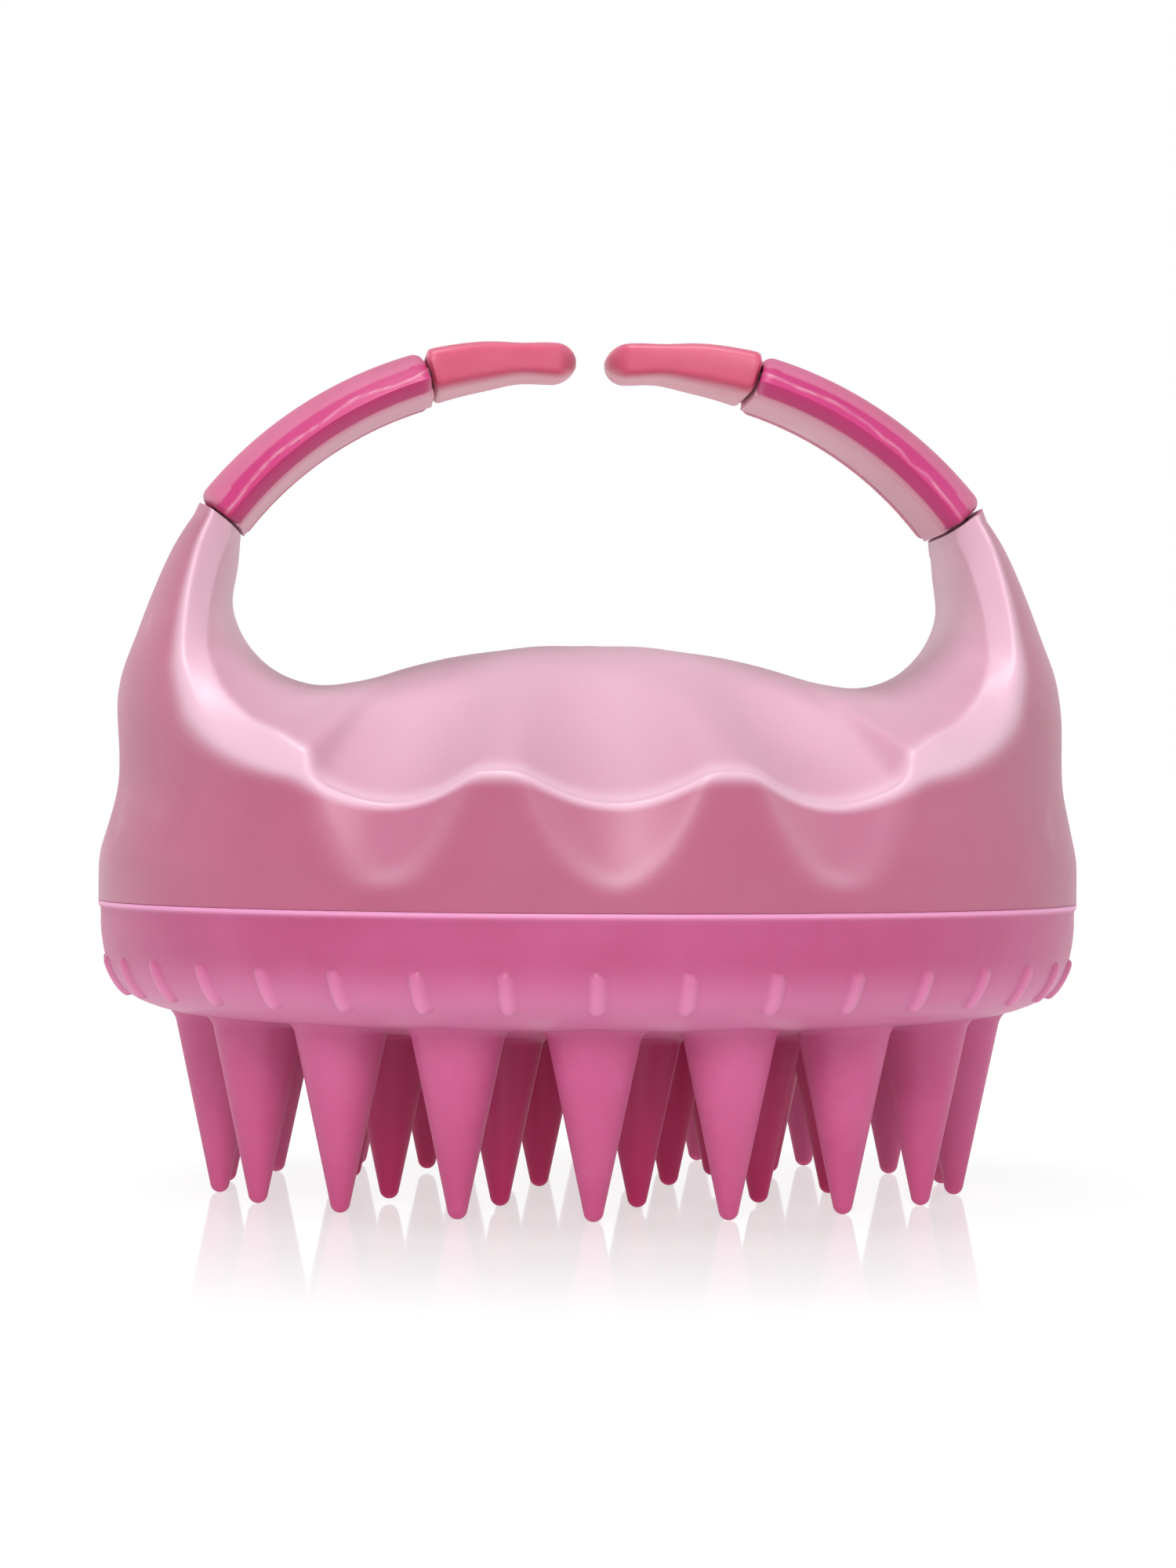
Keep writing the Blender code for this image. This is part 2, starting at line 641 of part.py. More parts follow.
def make_tip(side, name, collection, cutters, finish):
    low = SLEEVE_END_DEG + arc_deg(TIP_JOINT_GAP / 2)
    shares = [0, 0.2, 0.4, 0.6, 0.75, TIP_ROUND_FROM, 0.92, 0.97, 1.0]
    angles = [low + (TIP_END_DEG - low) * share for share in shares]
    bm = loft(arc_rings(side, angles, lambda k: tip_outline(shares[k])))
    tip = add_object(name, bm, collection, finish)
    put_origin(tip, side, tip_bead_deg())
    boolean(tip, "DIFFERENCE", socket_shape(f"{name}_socket", side, tip_bead_deg(), -1, cutters))
    shade(tip)
    return tip


# ---- pad, tray and screws --------------------------------------------------------------------


def pad_profile():
    bead_z = LIP_Z - PAD_BEAD_BELOW_LIP
    bead_r = PAD_IN_R - PAD_BEAD_IN
    return [
        (0, PAD_FLOOR_Z),
        (PAD_IN_R, PAD_FLOOR_Z),
        (PAD_IN_R, bead_z - PAD_BEAD_HALF),
        (bead_r, bead_z - PAD_BEAD_CREST_HALF),
        (bead_r, bead_z + PAD_BEAD_CREST_HALF),
        (PAD_IN_R, bead_z + PAD_BEAD_HALF),
        (PAD_IN_R, LIP_Z),
        (BASE_R - PAD_CHAMFER, LIP_Z),
        (BASE_R, LIP_Z - PAD_CHAMFER),
        *[(BASE_R - inset, PAD_EDGE_Z + PAD_HEIGHT * share) for share, inset in PAD_SIDE],
        *[(BASE_R * wide, PAD_EDGE_Z - PAD_BELLY * hang) for wide, hang in PAD_UNDER],
    ]


def pad_under_z(radius):
    """Height of the pad's underside at a radius."""
    wide, hang = np.array(PAD_UNDER[::-1]).T
    return PAD_EDGE_Z - PAD_BELLY * float(np.interp(radius / BASE_R, wide, hang))


def bristle_places():
    """(x, y, tip height, root height) of every bristle."""
    for count, radius, start_deg, tip_z in BRISTLE_RINGS:
        for k in range(count):
            angle = math.radians(start_deg + 360 / count * k + PAD_CLOCKING_DEG)
            x, y = radius * math.sin(angle), -radius * math.cos(angle)
            yield x, y, tip_z, pad_under_z(radius + BRISTLE_ROOT_R)


def make_bristles(cutters):
    """All bristles as cones with a rounded tip, their roots sunk into the pad."""
    bm = bmesh.new()
    turn = 2 * math.pi / BRISTLE_SIDES
    for x, y, tip_z, root_z in bristle_places():
        slope = (BRISTLE_ROOT_R - BRISTLE_TIP_R) / (PAD_EDGE_Z - BRISTLE_TIP_H)
        root_r = BRISTLE_TIP_R + slope * (root_z - tip_z - BRISTLE_TIP_H)
        levels = [
            (tip_z, BRISTLE_FOOT_R),
            (tip_z + BRISTLE_NOSE[0] * BRISTLE_TIP_H, BRISTLE_NOSE[1] * BRISTLE_TIP_R),
            (tip_z + BRISTLE_TIP_H, BRISTLE_TIP_R),
            (root_z, root_r),
            (root_z + BRISTLE_SUNK, root_r + slope * BRISTLE_SUNK),
        ]
        rows = []
        for z, radius in levels:
            rows.append([
                bm.verts.new((x + radius * math.cos(turn * k), y + radius * math.sin(turn * k), z))
                for k in range(BRISTLE_SIDES)
            ])
        for first, second in zip(rows, rows[1:]):
            for k in range(BRISTLE_SIDES):
                nxt = (k + 1) % BRISTLE_SIDES
                bm.faces.new((first[k], first[nxt], second[nxt], second[k]))
        bm.faces.new(rows[0][::-1])
        bm.faces.new(rows[-1])
    return add_object("bristle_cones", bm, cutters)


def make_pad(collection, cutters, finish):
    pad = turned("bristle_pad", pad_profile(), 48, collection, finish)
    boolean(pad, "UNION", make_bristles(cutters))
    shade(pad)
    return pad


def make_tray(collection, cutters, finish):
    bead_z = LIP_Z - PAD_BEAD_BELOW_LIP
    groove_r = PAD_IN_R - PAD_BEAD_IN - GAP
    mouth, depth = PAD_BEAD_HALF + GAP, PAD_BEAD_CREST_HALF + GAP
    inner_r = TRAY_R - TRAY_WALL
    top = SEAM_Z + SPIGOT_H
    floor_z = TRAY_Z + TRAY_FLOOR
    profile = [
        (0, floor_z),
        (inner_r, floor_z),
        (inner_r, top),
        (SPIGOT_R, top),
        (SPIGOT_R, LIP_Z),
        (TRAY_R, LIP_Z),
        (TRAY_R, bead_z + mouth),
        (groove_r, bead_z + depth),
        (groove_r, bead_z - depth),
        (TRAY_R, bead_z - mouth),
        (TRAY_R, TRAY_Z),
        (0, TRAY_Z),
    ]
    tray = turned("carrier_tray", profile, 48, collection, finish)
    posts, heads = bmesh.new(), bmesh.new()
    for x, y in screw_places():
        cylinder(posts, POST_R, floor_z - POST_SUNK, POST_TOP_Z, x, y)
        cylinder(heads, SCREW_HEAD_R + GAP, TRAY_Z - CUT_PAST, HEAD_SEAT_Z, x, y)
    boolean(tray, "UNION", add_object("post_shapes", posts, cutters))
    boolean(tray, "DIFFERENCE", add_object("head_cutters", heads, cutters))
    holes = bmesh.new()
    for x, y in screw_places():
        cylinder(holes, SCREW_R + GAP, TRAY_Z - CUT_PAST, POST_TOP_Z + CUT_PAST, x, y, sides=12)
    boolean(tray, "DIFFERENCE", add_object("clearance_cutters", holes, cutters))
    shade(tray)
    return tray


def make_screw(name, x, y, collection, cutters, finish):
    seat = HEAD_SEAT_Z - SCREW_SEAT_GAP
    face = seat - SCREW_HEAD_H
    profile = [
        (0, seat + SCREW_LENGTH),
        (SCREW_POINT_R, seat + SCREW_LENGTH - SCREW_POINT / 4),
        (SCREW_R, seat + SCREW_LENGTH - SCREW_POINT),
        (SCREW_R, seat),
        (SCREW_HEAD_R, seat),
        (SCREW_HEAD_R, seat - SCREW_HEAD_H * SCREW_HEAD_SIDE),
        (SCREW_HEAD_R * SCREW_HEAD_FACE, face),
        (0, face),
    ]
    screw = turned(name, profile, 12, collection, finish)
    screw.location = (x * MM, y * MM, 0)
    arm, half = DRIVE_ARM, DRIVE_HALF
    cross = [(arm, half), (half, half), (half, arm), (-half, arm), (-half, half), (-arm, half)]
    cross += [(-cx, -cy) for cx, cy in cross]
    levels = (face - CUT_PAST, face + DRIVE_DEPTH)
    drive = loft([[(x + cx, y + cy, z) for cx, cy in cross] for z in levels])
    boolean(screw, "DIFFERENCE", add_object(f"{name}_drive", drive, cutters))
    shade(screw)
    return screw


def main():
    clear_scene()
    brush = new_collection("scalp_massager_brush")
    cutters = new_collection("cutters")
    shell_finish = material("shell pink", LIGHT_PINK)
    grip_finish = material("grip pink", DEEP_PINK)
    pad_finish = material("pad silicone", PAD_PINK)
    tip_finish = material("tip salmon", SALMON)
    steel_finish = material("screw steel", STEEL, metallic=1.0)
    make_shell(brush, cutters, shell_finish)
    for side, word in ((-1, "left"), (1, "right")):
        make_core(side, f"arm_core_{word}", brush, cutters, shell_finish)
        make_sleeve(side, f"grip_sleeve_{word}", brush, grip_finish)
        make_tip(side, f"arm_tip_{word}", brush, cutters, tip_finish)
    make_pad(brush, cutters, pad_finish)
    make_tray(brush, cutters, shell_finish)
    for k, (x, y) in enumerate(screw_places(), start=1):
        make_screw(f"tray_screw_{k}", x, y, brush, cutters, steel_finish)


main()
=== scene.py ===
import math

import bmesh
import bpy
import numpy as np
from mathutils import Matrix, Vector


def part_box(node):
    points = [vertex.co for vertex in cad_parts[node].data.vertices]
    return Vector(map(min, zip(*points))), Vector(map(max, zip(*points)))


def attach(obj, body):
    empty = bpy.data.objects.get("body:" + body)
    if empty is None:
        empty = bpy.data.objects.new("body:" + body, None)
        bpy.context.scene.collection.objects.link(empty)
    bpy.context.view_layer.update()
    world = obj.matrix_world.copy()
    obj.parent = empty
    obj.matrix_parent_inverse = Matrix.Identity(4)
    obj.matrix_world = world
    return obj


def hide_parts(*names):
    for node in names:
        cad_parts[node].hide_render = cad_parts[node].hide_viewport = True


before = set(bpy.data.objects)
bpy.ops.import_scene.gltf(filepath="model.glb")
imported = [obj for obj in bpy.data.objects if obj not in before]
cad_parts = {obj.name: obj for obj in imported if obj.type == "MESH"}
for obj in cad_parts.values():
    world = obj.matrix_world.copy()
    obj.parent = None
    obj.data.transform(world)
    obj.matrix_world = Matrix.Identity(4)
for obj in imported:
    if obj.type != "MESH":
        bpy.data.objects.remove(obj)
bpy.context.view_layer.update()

mm = 0.001
print("frame loaded:", len(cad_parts), "nodes")

# places read from the frame, in millimetres

padLow, padHigh = (np.array(corner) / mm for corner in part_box("bristle_pad"))
trayLow, trayHigh = (np.array(corner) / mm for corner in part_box("carrier_tray"))
baseRadius = padHigh[0]
lipZ = padHigh[2]
seamZ = lipZ + 0.3


# curves and grids

def smoothStep(value, low, high):
    u = np.clip((value - low) / (high - low), 0, 1)
    return u * u * (3 - 2 * u)


def hermite(x, y, tangent, at):
    # cubic between neighbouring knots, with the given slope at each knot
    at = np.clip(at, x[0], x[-1])
    i = np.clip(np.searchsorted(x, at, side="right") - 1, 0, len(x) - 2)
    step = x[i + 1] - x[i]
    u = (at - x[i]) / step
    rise = y[i] * (1 + 2 * u) * (1 - u) ** 2 + y[i + 1] * u**2 * (3 - 2 * u)
    return rise + step * u * (1 - u) * (tangent[i] * (1 - u) - tangent[i + 1] * u)


def throughKnots(knots, at):
    # a curve through (x, y) knots whose slopes are harmonic means, so it never overshoots
    x, y = np.array(knots, float).T
    step = np.diff(x)
    slope = np.diff(y) / step
    sameWay = slope[:-1] * slope[1:] > 0
    left, right = 2 * step[1:] + step[:-1], step[1:] + 2 * step[:-1]
    with np.errstate(divide="ignore", invalid="ignore"):
        mean = (left + right) / (left / slope[:-1] + right / slope[1:])
    tangent = np.concatenate([[slope[0]], np.where(sameWay, mean, 0), [slope[-1]]])
    return hermite(x, y, tangent, at)


def alongPath(points, share):
    # the path through the points, read at shares 0 to 1 of its own length
    points = np.array(points, float)
    chord = np.concatenate([[0], np.cumsum(np.linalg.norm(np.diff(points, axis=0), axis=1))])
    chord /= chord[-1]
    fine = np.linspace(0, 1, 2000)
    path = np.stack([hermite(chord, p, np.gradient(p, chord), fine) for p in points.T], 1)
    gone = np.concatenate([[0], np.cumsum(np.linalg.norm(np.diff(path, axis=0), axis=1))])
    return np.stack([np.interp(share, gone / gone[-1], p) for p in path.T], -1)


def soften(grid, passes, axis):
    # each inner point moves half way to the mean of its two neighbours
    grid = np.moveaxis(grid.copy(), axis, 0)
    for _ in range(passes):
        grid[1:-1] = 0.5 * grid[1:-1] + 0.25 * (grid[:-2] + grid[2:])
    return np.moveaxis(grid, 0, axis)


def gridQuads(rows, columns, closedRows=False, closedColumns=False):
    # four corner indices for each cell of a rows x columns grid
    r = np.arange(rows if closedRows else rows - 1)
    c = np.arange(columns if closedColumns else columns - 1)
    r0, c0 = np.meshgrid(r, c, indexing="ij")
    r1, c1 = (r0 + 1) % rows, (c0 + 1) % columns
    corners = [r0 * columns + c0, r0 * columns + c1, r1 * columns + c1, r1 * columns + c0]
    return np.stack([corner.ravel() for corner in corners], -1)


def meshPiece(name, patches, body, standsFor, finish, caps=(), crease=40):
    # patches are (grid, closedRows, closedColumns, painted light and shade); doubles are merged, faces
    # turned outwards
    points, quads, paintedLightShades, start = [], [], [], 0
    for grid, closedRows, closedColumns, paintedLightShade in patches:
        rows, columns = grid.shape[:2]
        quads.append(gridQuads(rows, columns, closedRows, closedColumns) + start)
        points.append(grid.reshape(-1, 3))
        paintedLightShades.append(np.broadcast_to(paintedLightShade, (rows, columns)).ravel())
        start += rows * columns
    points, quads = np.concatenate(points) * mm, np.concatenate(quads)
    mesh = bpy.data.meshes.new(name)
    mesh.from_pydata(points.tolist(), [], quads.tolist() + [list(cap) for cap in caps])
    # the painted light and shade go onto the points as an attribute
    mesh.attributes.new("paintedLightShade", "FLOAT", "POINT").data.foreach_set("value", np.concatenate(paintedLightShades))
    work = bmesh.new()
    work.from_mesh(mesh)
    bmesh.ops.remove_doubles(work, verts=work.verts, dist=2e-6)
    bmesh.ops.dissolve_degenerate(work, edges=work.edges, dist=1e-7)
    bmesh.ops.delete(work, geom=[edge for edge in work.edges if not edge.link_faces], context="EDGES")
    bmesh.ops.recalc_face_normals(work, faces=work.faces)
    openEdges = sum(1 for edge in work.edges if len(edge.link_faces) != 2)
    work.to_mesh(mesh)
    work.free()
    mesh.shade_smooth()
    mesh.set_sharp_from_angle(angle=math.radians(crease))
    piece = bpy.data.objects.new(name, mesh)
    bpy.context.scene.collection.objects.link(piece)
    mesh.materials.append(finish)
    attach(piece, body)
    if standsFor:
        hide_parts(*standsFor)
    print("piece", name, len(mesh.polygons), "faces,", openEdges, "open edges")
    return piece


def mirrored(grid, *signs):
    return grid * np.array(signs, float)


# shader maths

class Value:
    # wraps an output socket, so that plain operators add Math nodes
    def __init__(self, shop, socket):
        self.shop, self.socket = shop, socket

    def maths(self, operation, first, second=None):
        inputs = {0: first} if second is None else {0: first, 1: second}
        return self.shop.add("ShaderNodeMath", {"operation": operation}, inputs)

    def __add__(self, other):
        return self.maths("ADD", self, other)

    def __mul__(self, other):
        return self.maths("MULTIPLY", self, other)

    def __sub__(self, other):
        return self.maths("SUBTRACT", self, other)

    def __rsub__(self, other):
        return self.maths("SUBTRACT", other, self)

    def __pow__(self, other):
        return self.maths("POWER", self, other)

    __radd__ = __add__
    __rmul__ = __mul__


class FinishShop:
    # one node tree, a material's or the world's, with a single way to add a node
    def __init__(self, name, world=None):
        self.owner = world or bpy.data.materials.new(name)
        self.owner.use_nodes = True
        self.tree = self.owner.node_tree
        self.shader = self.tree.nodes["Background" if world else "Principled BSDF"]

    def add(self, kind, settings=None, inputs=None, output=0):
        node = self.tree.nodes.new(kind)
        for key, setting in (settings or {}).items():
            setattr(node, key, setting)
        for key, given in (inputs or {}).items():
            self.feed(node.inputs[key], given)
        return Value(self, node.outputs[output])

    def feed(self, socket, given):
        if isinstance(given, Value):
            self.tree.links.new(given.socket, socket)
        else:
            socket.default_value = given

    def place(self):
        return self.add("ShaderNodeTexCoord", output="Object")

    def noise(self, scale, detail=3.0, rough=0.5, stretch=None):
        where = self.place()
        if stretch:
            where = self.add("ShaderNodeMapping", inputs={"Vector": where, "Scale": stretch})
        sockets = {"Vector": where, "Scale": scale, "Detail": detail, "Roughness": rough}
        return self.add("ShaderNodeTexNoise", inputs=sockets)

    def paintedLightShade(self):
        # painted light and shade, 0 to 1, stored on the piece's points
        return self.add("ShaderNodeAttribute", {"attribute_name": "paintedLightShade"}, output="Fac")

    def cells(self, scale):
        return self.add("ShaderNodeTexVoronoi", inputs={"Vector": self.place(), "Scale": scale})

    def band(self, value, low, high, first=0.0, last=1.0):
        settings = {"interpolation_type": "SMOOTHSTEP"}
        sockets = {"Value": value, 1: low, 2: high, 3: first, 4: last}
        return self.add("ShaderNodeMapRange", settings, sockets)

    def blendColours(self, share, first, second):
        sockets = {0: share, 6: first, 7: second}
        return self.add("ShaderNodeMix", {"data_type": "RGBA"}, sockets, output=2)

    def bump(self, height, depth, strength=1.0, under=None):
        sockets = {"Height": height, "Distance": depth, "Strength": strength}
        if under:
            sockets["Normal"] = under
        return self.add("ShaderNodeBump", inputs=sockets)

    def set(self, **given):
        for key, setting in given.items():
            self.feed(self.shader.inputs[key.replace("_", " ")], setting)
        return self.owner


def mattePlastic(name, look):
    # moulded plastic: a fine spark-eroded grain, a cloudy tone, a few burnished patches, and painted light
    shop = FinishShop(name)
    grain = shop.noise(look["grainScale"], 2.0, 0.6)
    cloud = shop.noise(look["cloudScale"], 4.0, 0.55)
    flow = shop.noise(look["cloudScale"] * 0.6, 3.0, 0.5, stretch=(1.0, 1.0, 3.5))
    rubbed = shop.band(shop.noise(look["cloudScale"] * 2.2, 5.0, 0.6), 0.55, 0.75)
    tone = shop.blendColours(shop.band(cloud, 0.3, 0.7), look["deep"], look["pale"])
    tone = shop.blendColours(shop.band(flow, 0.45, 0.8) * 0.35, tone, look["milky"])
    # painted light: the tone pulled towards the look's painted colour by the points' values
    tone = shop.blendColours(shop.paintedLightShade() * look["paintedLightShadeShare"], tone, look["edge"])
    rough = look["roughness"] + grain * 0.10 - rubbed * 0.09
    normal = shop.bump(grain, look["grainDepth"], 0.6)
    normal = shop.bump(cloud, look["grainDepth"] * 6, 0.25, under=normal)
    return shop.set(
        Base_Color=tone,
        Roughness=rough,
        Normal=normal,
        IOR=1.5,
        Subsurface_Weight=look["scatter"],
        Subsurface_Radius=(1.0, 0.35, 0.45),
        Subsurface_Scale=0.0015,
        Sheen_Weight=look["sheen"],
        Sheen_Roughness=0.4,
        Sheen_Tint=(1.0, 0.86, 0.92, 1.0),
    )


def softRubber(name, look):
    # moulded rubber: satin skin with a faint orange peel, dust in the grain and tone clouds, and painted
    # light and shade
    shop = FinishShop(name)
    peel = shop.noise(look["peelScale"], 2.0, 0.5)
    cloud = shop.noise(look["cloudScale"], 4.0, 0.6)
    dust = shop.band(shop.cells(look["dustScale"]), 0.03, 0.10, 1.0, 0.0)
    tone = shop.blendColours(shop.band(cloud, 0.3, 0.72), look["deep"], look["pale"])
    tone = shop.blendColours(dust * look["dust"], tone, look["milky"])
    # painted light and shade: the tone pulled towards the look's painted colour by the points' values
    tone = shop.blendColours(shop.paintedLightShade() * look["paintedLightShadeShare"], tone, look["edge"])
    rough = look["roughness"] + shop.band(cloud, 0.35, 0.7) * 0.10 + dust * 0.15
    normal = shop.bump(peel, look["peelDepth"], 0.5)
    return shop.set(
        Base_Color=tone,
        Roughness=rough,
        Normal=normal,
        IOR=1.43,
        Subsurface_Weight=look["scatter"],
        Subsurface_Radius=(1.0, 0.16, 0.30),
        Subsurface_Scale=look["scatterDepth"],
        Sheen_Weight=look["sheen"],
        Sheen_Roughness=0.5,
        Sheen_Tint=(1.0, 0.75, 0.86, 1.0),
        Coat_Weight=look["coat"],
        Coat_Roughness=0.18,
    )


def screwSteel():
    # zinc-plated steel: turned rings, blotches in the plating
    shop = FinishShop("screwSteel")
    blotch = shop.noise(900.0, 4.0, 0.6)
    turned = shop.noise(2500.0, 2.0, 0.5, stretch=(0.2, 0.2, 3.0))
    tone = shop.blendColours(blotch, (0.42, 0.42, 0.44, 1), (0.68, 0.67, 0.66, 1))
    return shop.set(
        Base_Color=tone,
        Roughness=0.24 + blotch * 0.25,
        Metallic=1.0,
        Normal=shop.bump(turned, 0.00002, 0.5),
    )


shellLook = {
    "deep": (0.405, 0.084, 0.168, 1),
    "pale": (0.440, 0.100, 0.192, 1),
    "milky": (0.500, 0.150, 0.250, 1),
    # painted light: the pale colour for the upper side, the ridge line and the grooves
    "edge": (0.765, 0.515, 0.625, 1),
    "paintedLightShadeShare": 0.85,
    "grainScale": 5200.0,
    "grainDepth": 0.00002,
    "cloudScale": 60.0,
    "roughness": 0.36,
    "scatter": 0.10,
    "sheen": 0.10,
}
coreLook = dict(
    shellLook,
    deep=(0.70, 0.37, 0.46, 1),
    pale=(0.76, 0.44, 0.52, 1),
    milky=(0.80, 0.54, 0.60, 1),
    grainScale=3600.0,
    roughness=0.5,
)
trayLook = dict(shellLook, roughness=0.34, grainDepth=0.00001, sheen=0.0)
padLook = {
    "deep": (0.450, 0.062, 0.185, 1),
    "pale": (0.495, 0.085, 0.225, 1),
    "milky": (0.740, 0.280, 0.420, 1),
    # painted light: the pale colour for the lip, the ribs and the lower shoulder
    "edge": (0.860, 0.340, 0.580, 1),
    "paintedLightShadeShare": 1.0,
    "peelScale": 2600.0,
    "peelDepth": 0.00002,
    "cloudScale": 75.0,
    "dustScale": 900.0,
    "dust": 0.10,
    "roughness": 0.38,
    "scatter": 0.25,
    "scatterDepth": 0.0020,
    "sheen": 0.10,
    "coat": 0.0,
}
bristleLook = dict(
    padLook,
    deep=(0.510, 0.082, 0.225, 1),
    pale=(0.560, 0.112, 0.270, 1),
    # painted shade: the deep colour that the inner rings and the tips are pulled towards
    edge=(0.380, 0.001, 0.085, 1),
    scatter=0.35,
    sheen=0.0,
    roughness=0.45,
)
gripLook = dict(
    padLook,
    deep=(0.505, 0.040, 0.172, 1),
    pale=(0.550, 0.054, 0.212, 1),
    # painted light: the pale colour for the lit top, the underside and the flash
    edge=(0.720, 0.380, 0.460, 1),
    roughness=0.42,
    sheen=0.0,
    scatter=0.20,
    scatterDepth=0.0015,
)
tipLook = dict(
    padLook,
    deep=(0.555, 0.075, 0.155, 1),
    pale=(0.600, 0.110, 0.200, 1),
    milky=(0.760, 0.360, 0.420, 1),
    # painted light: the pale colour along the tip's edges
    edge=(0.780, 0.360, 0.420, 1),
    roughness=0.38,
    scatter=0.35,
    scatterDepth=0.0025,
    coat=0.08,
)
shellFinish = mattePlastic("shellPlastic", shellLook)
coreFinish = mattePlastic("corePlastic", coreLook)
trayFinish = mattePlastic("trayPlastic", trayLook)
padFinish = softRubber("padSilicone", padLook)
bristleFinish = softRubber("bristleSilicone", bristleLook)
gripFinish = softRubber("gripRubber", gripLook)
tipFinish = softRubber("tipRubber", tipLook)
steelFinish = screwSteel()
print("finishes made")


# arms' arc

armArc = {
    "hornEndDeg": 36.1,
    "hornEndInset": 10.45,
    "hornEndHeight": 32.4,
    "centreX": 4.64,
    "sleeveEndDeg": 73.6,
    "rootGap": 0.28,
    "tipGap": 0.22,
    "tipToTip": 2.5,
    "beadRadius": 1.2,
    "clearance": 0.3,
    "neckHalfWidth": 5.0,
    "neckHalfThick": 0.5,
    "mouthHalf": 1.1,
    "mouthPower": 0.35,
    "faceHalf": (9.0, 2.2),
    "beadInHorn": 1.9,
    "beadInTip": 1.7,
    "hornSlotDepth": 3.6,
    "tipSlotDepth": 3.3,
}
armRadius = (baseRadius - armArc["hornEndInset"] - armArc["centreX"]) / math.cos(
    math.radians(armArc["hornEndDeg"])
)
armCentreZ = seamZ + armArc["hornEndHeight"] - armRadius * math.sin(math.radians(armArc["hornEndDeg"]))
tipEndDeg = math.degrees(math.acos((armArc["tipToTip"] / 2 - armArc["centreX"]) / armRadius))


def arcPoint(angleDeg, out):
    # (x, z) on the right arm's arc: centre + (radius + out) * (cos, sin)
    angle = np.radians(angleDeg)
    reach = armRadius + out
    return armArc["centreX"] + reach * np.cos(angle), armCentreZ + reach * np.sin(angle)


def arcSweep(angleDeg, across, out, side):
    # a section (across, out) carried along the arc; all arrays are stations x section points
    x, z = arcPoint(angleDeg[:, None], out)
    return np.stack([side * x, across + 0 * x, z], -1)


def arcDeg(length):
    return math.degrees(length / armRadius)


def signedPower(value, power):
    return np.sign(value) * np.abs(value) ** power


def pocket(across, out, size):
    # a rounded slot in an end face, as (across, out) of points that face the given outline
    faceAcross, faceOut = armArc["faceHalf"]
    turn = np.arctan2(out / faceOut, across / faceAcross)
    width = size[0] * signedPower(np.cos(turn), armArc["mouthPower"])
    return width, size[1] * signedPower(np.sin(turn), armArc["mouthPower"])


# shell

shellForm = {
    "flank": [(0, 0), (2.6, 0), (6, 0.6), (10, 1.25), (15, 1.35), (18.5, 1.8), (22.2, 3.1),
              (26.2, 4.6), (30.4, 6.5), (34, 8.9)],  # height above the seam, inset
    "frontInsetShare": 0.3,
    "insetGrowsDeg": (30, 65),
    "crestHeight": 22.0,
    "hornInset": 11.45,
    "hornSwellDeg": 4.0,
    "hornSwell": 1.25,
    "saddle": [(0, 0), (0.255, 0.5), (0.48, 2.0), (0.64, 3.45), (0.772, 3.8), (0.88, 2.6),
               (0.963, 0), (1, -3)],  # share of the half width, drop from the crest
    "hornEndThickness": 4.1,
    "ridge": [(0, 10.7), (20, 10.7), (37.5, 10.8), (42, 11.4), (46.5, 12.4), (50.5, 13.7),
              (54, 15.4), (57, 17.9), (61, 21.4), (64, 24.9), (66.5, 28.4)],  # degrees, height
    "ridgeEndDeg": 69.5,
    "rimBevel": 0.9,
    "bandGrowsDeg": (33.5, 38),
    # degrees from the front, then the way from the ridge to the band's inner line
    "band": [(38, -1.2, 0.0, 1.7), (43, -1.7, 0.1, 2.2), (48, -2.1, 0.3, 1.9), (53, -2.3, 0.8, 1.7),
             (57, -2.2, 1.4, 0.9), (61, -1.9, 2.1, -0.2), (69.5, -1.5, 2.5, -1.9)],
    "bandSwell": 0.10,
    "domePower": 1.7,
    "domePowerSide": 0.8,
    "topSoftness": 0.5,
    "flankSoftness": 0.2,
    "footDrop": 0.47,
    "cornerShare": 0.68,
    "cornerPace": 1.25,
    "grooveDepth": 2.6,
    "grooveArc": 10.5,
    "grooveBottom": 1.3,
    "sideGrooveDeg": 25.5,
    "sideGrooveTurnDeg": 15.4,
    "middleLength": 26.0,
    "sideLength": 25.0,
    "notchHeight": 10.4,
    "notchHalfHeight": 6.2,
    "notchHalfWidth": 8.0,
    "notchDepth": 1.3,
    "cavityInset": 5.0,
    "wallUnderDome": 7.0,
    "spigotHeight": 3.2,
    "spigotStep": 1.5,
    "footEase": 0.4,
}
# painted light on the shell: the upper side and the band paler, painted highlight lines at the rim and
# ridge, painted light in the grooves
shellPaintedLight = {
    "rim": 0.62,  # how pale the upper side is at its rim, and at the crest
    "crest": 1.0,
    "topReach": 25.0,
    "rimLine": 1.1,  # widths in millimetres of the bright line above and below the ridge
    "ridgeLine": 0.7,
    "flankReach": 11.0,
    "groove": 0.15,
    "grooveFrom": (0.1, 0.6),  # how far the skin is pushed in
    "border": 0.42,
    "borderAt": 0.25,
    "borderWidth": 0.22,
    "borderFrom": (0.02, 0.2),
    "frontDeg": 45,
    "softening": 9,
}


def flankRadius(height, angleDeg):
    # the inset is all there at the sides, and a share of it in front and behind
    toSide = smoothStep(np.abs(angleDeg), *shellForm["insetGrowsDeg"])
    share = shellForm["frontInsetShare"] + (1 - shellForm["frontInsetShare"]) * toSide
    return baseRadius - throughKnots(shellForm["flank"], height) * share


def onFlank(angleDeg, height, push=0.0):
    # radius(height) less the push, turned by the angle from the front
    radius, angle = flankRadius(height, angleDeg) - push, np.radians(angleDeg)
    return np.stack([radius * np.sin(angle), -radius * np.cos(angle), seamZ + height + 0 * angle], -1)


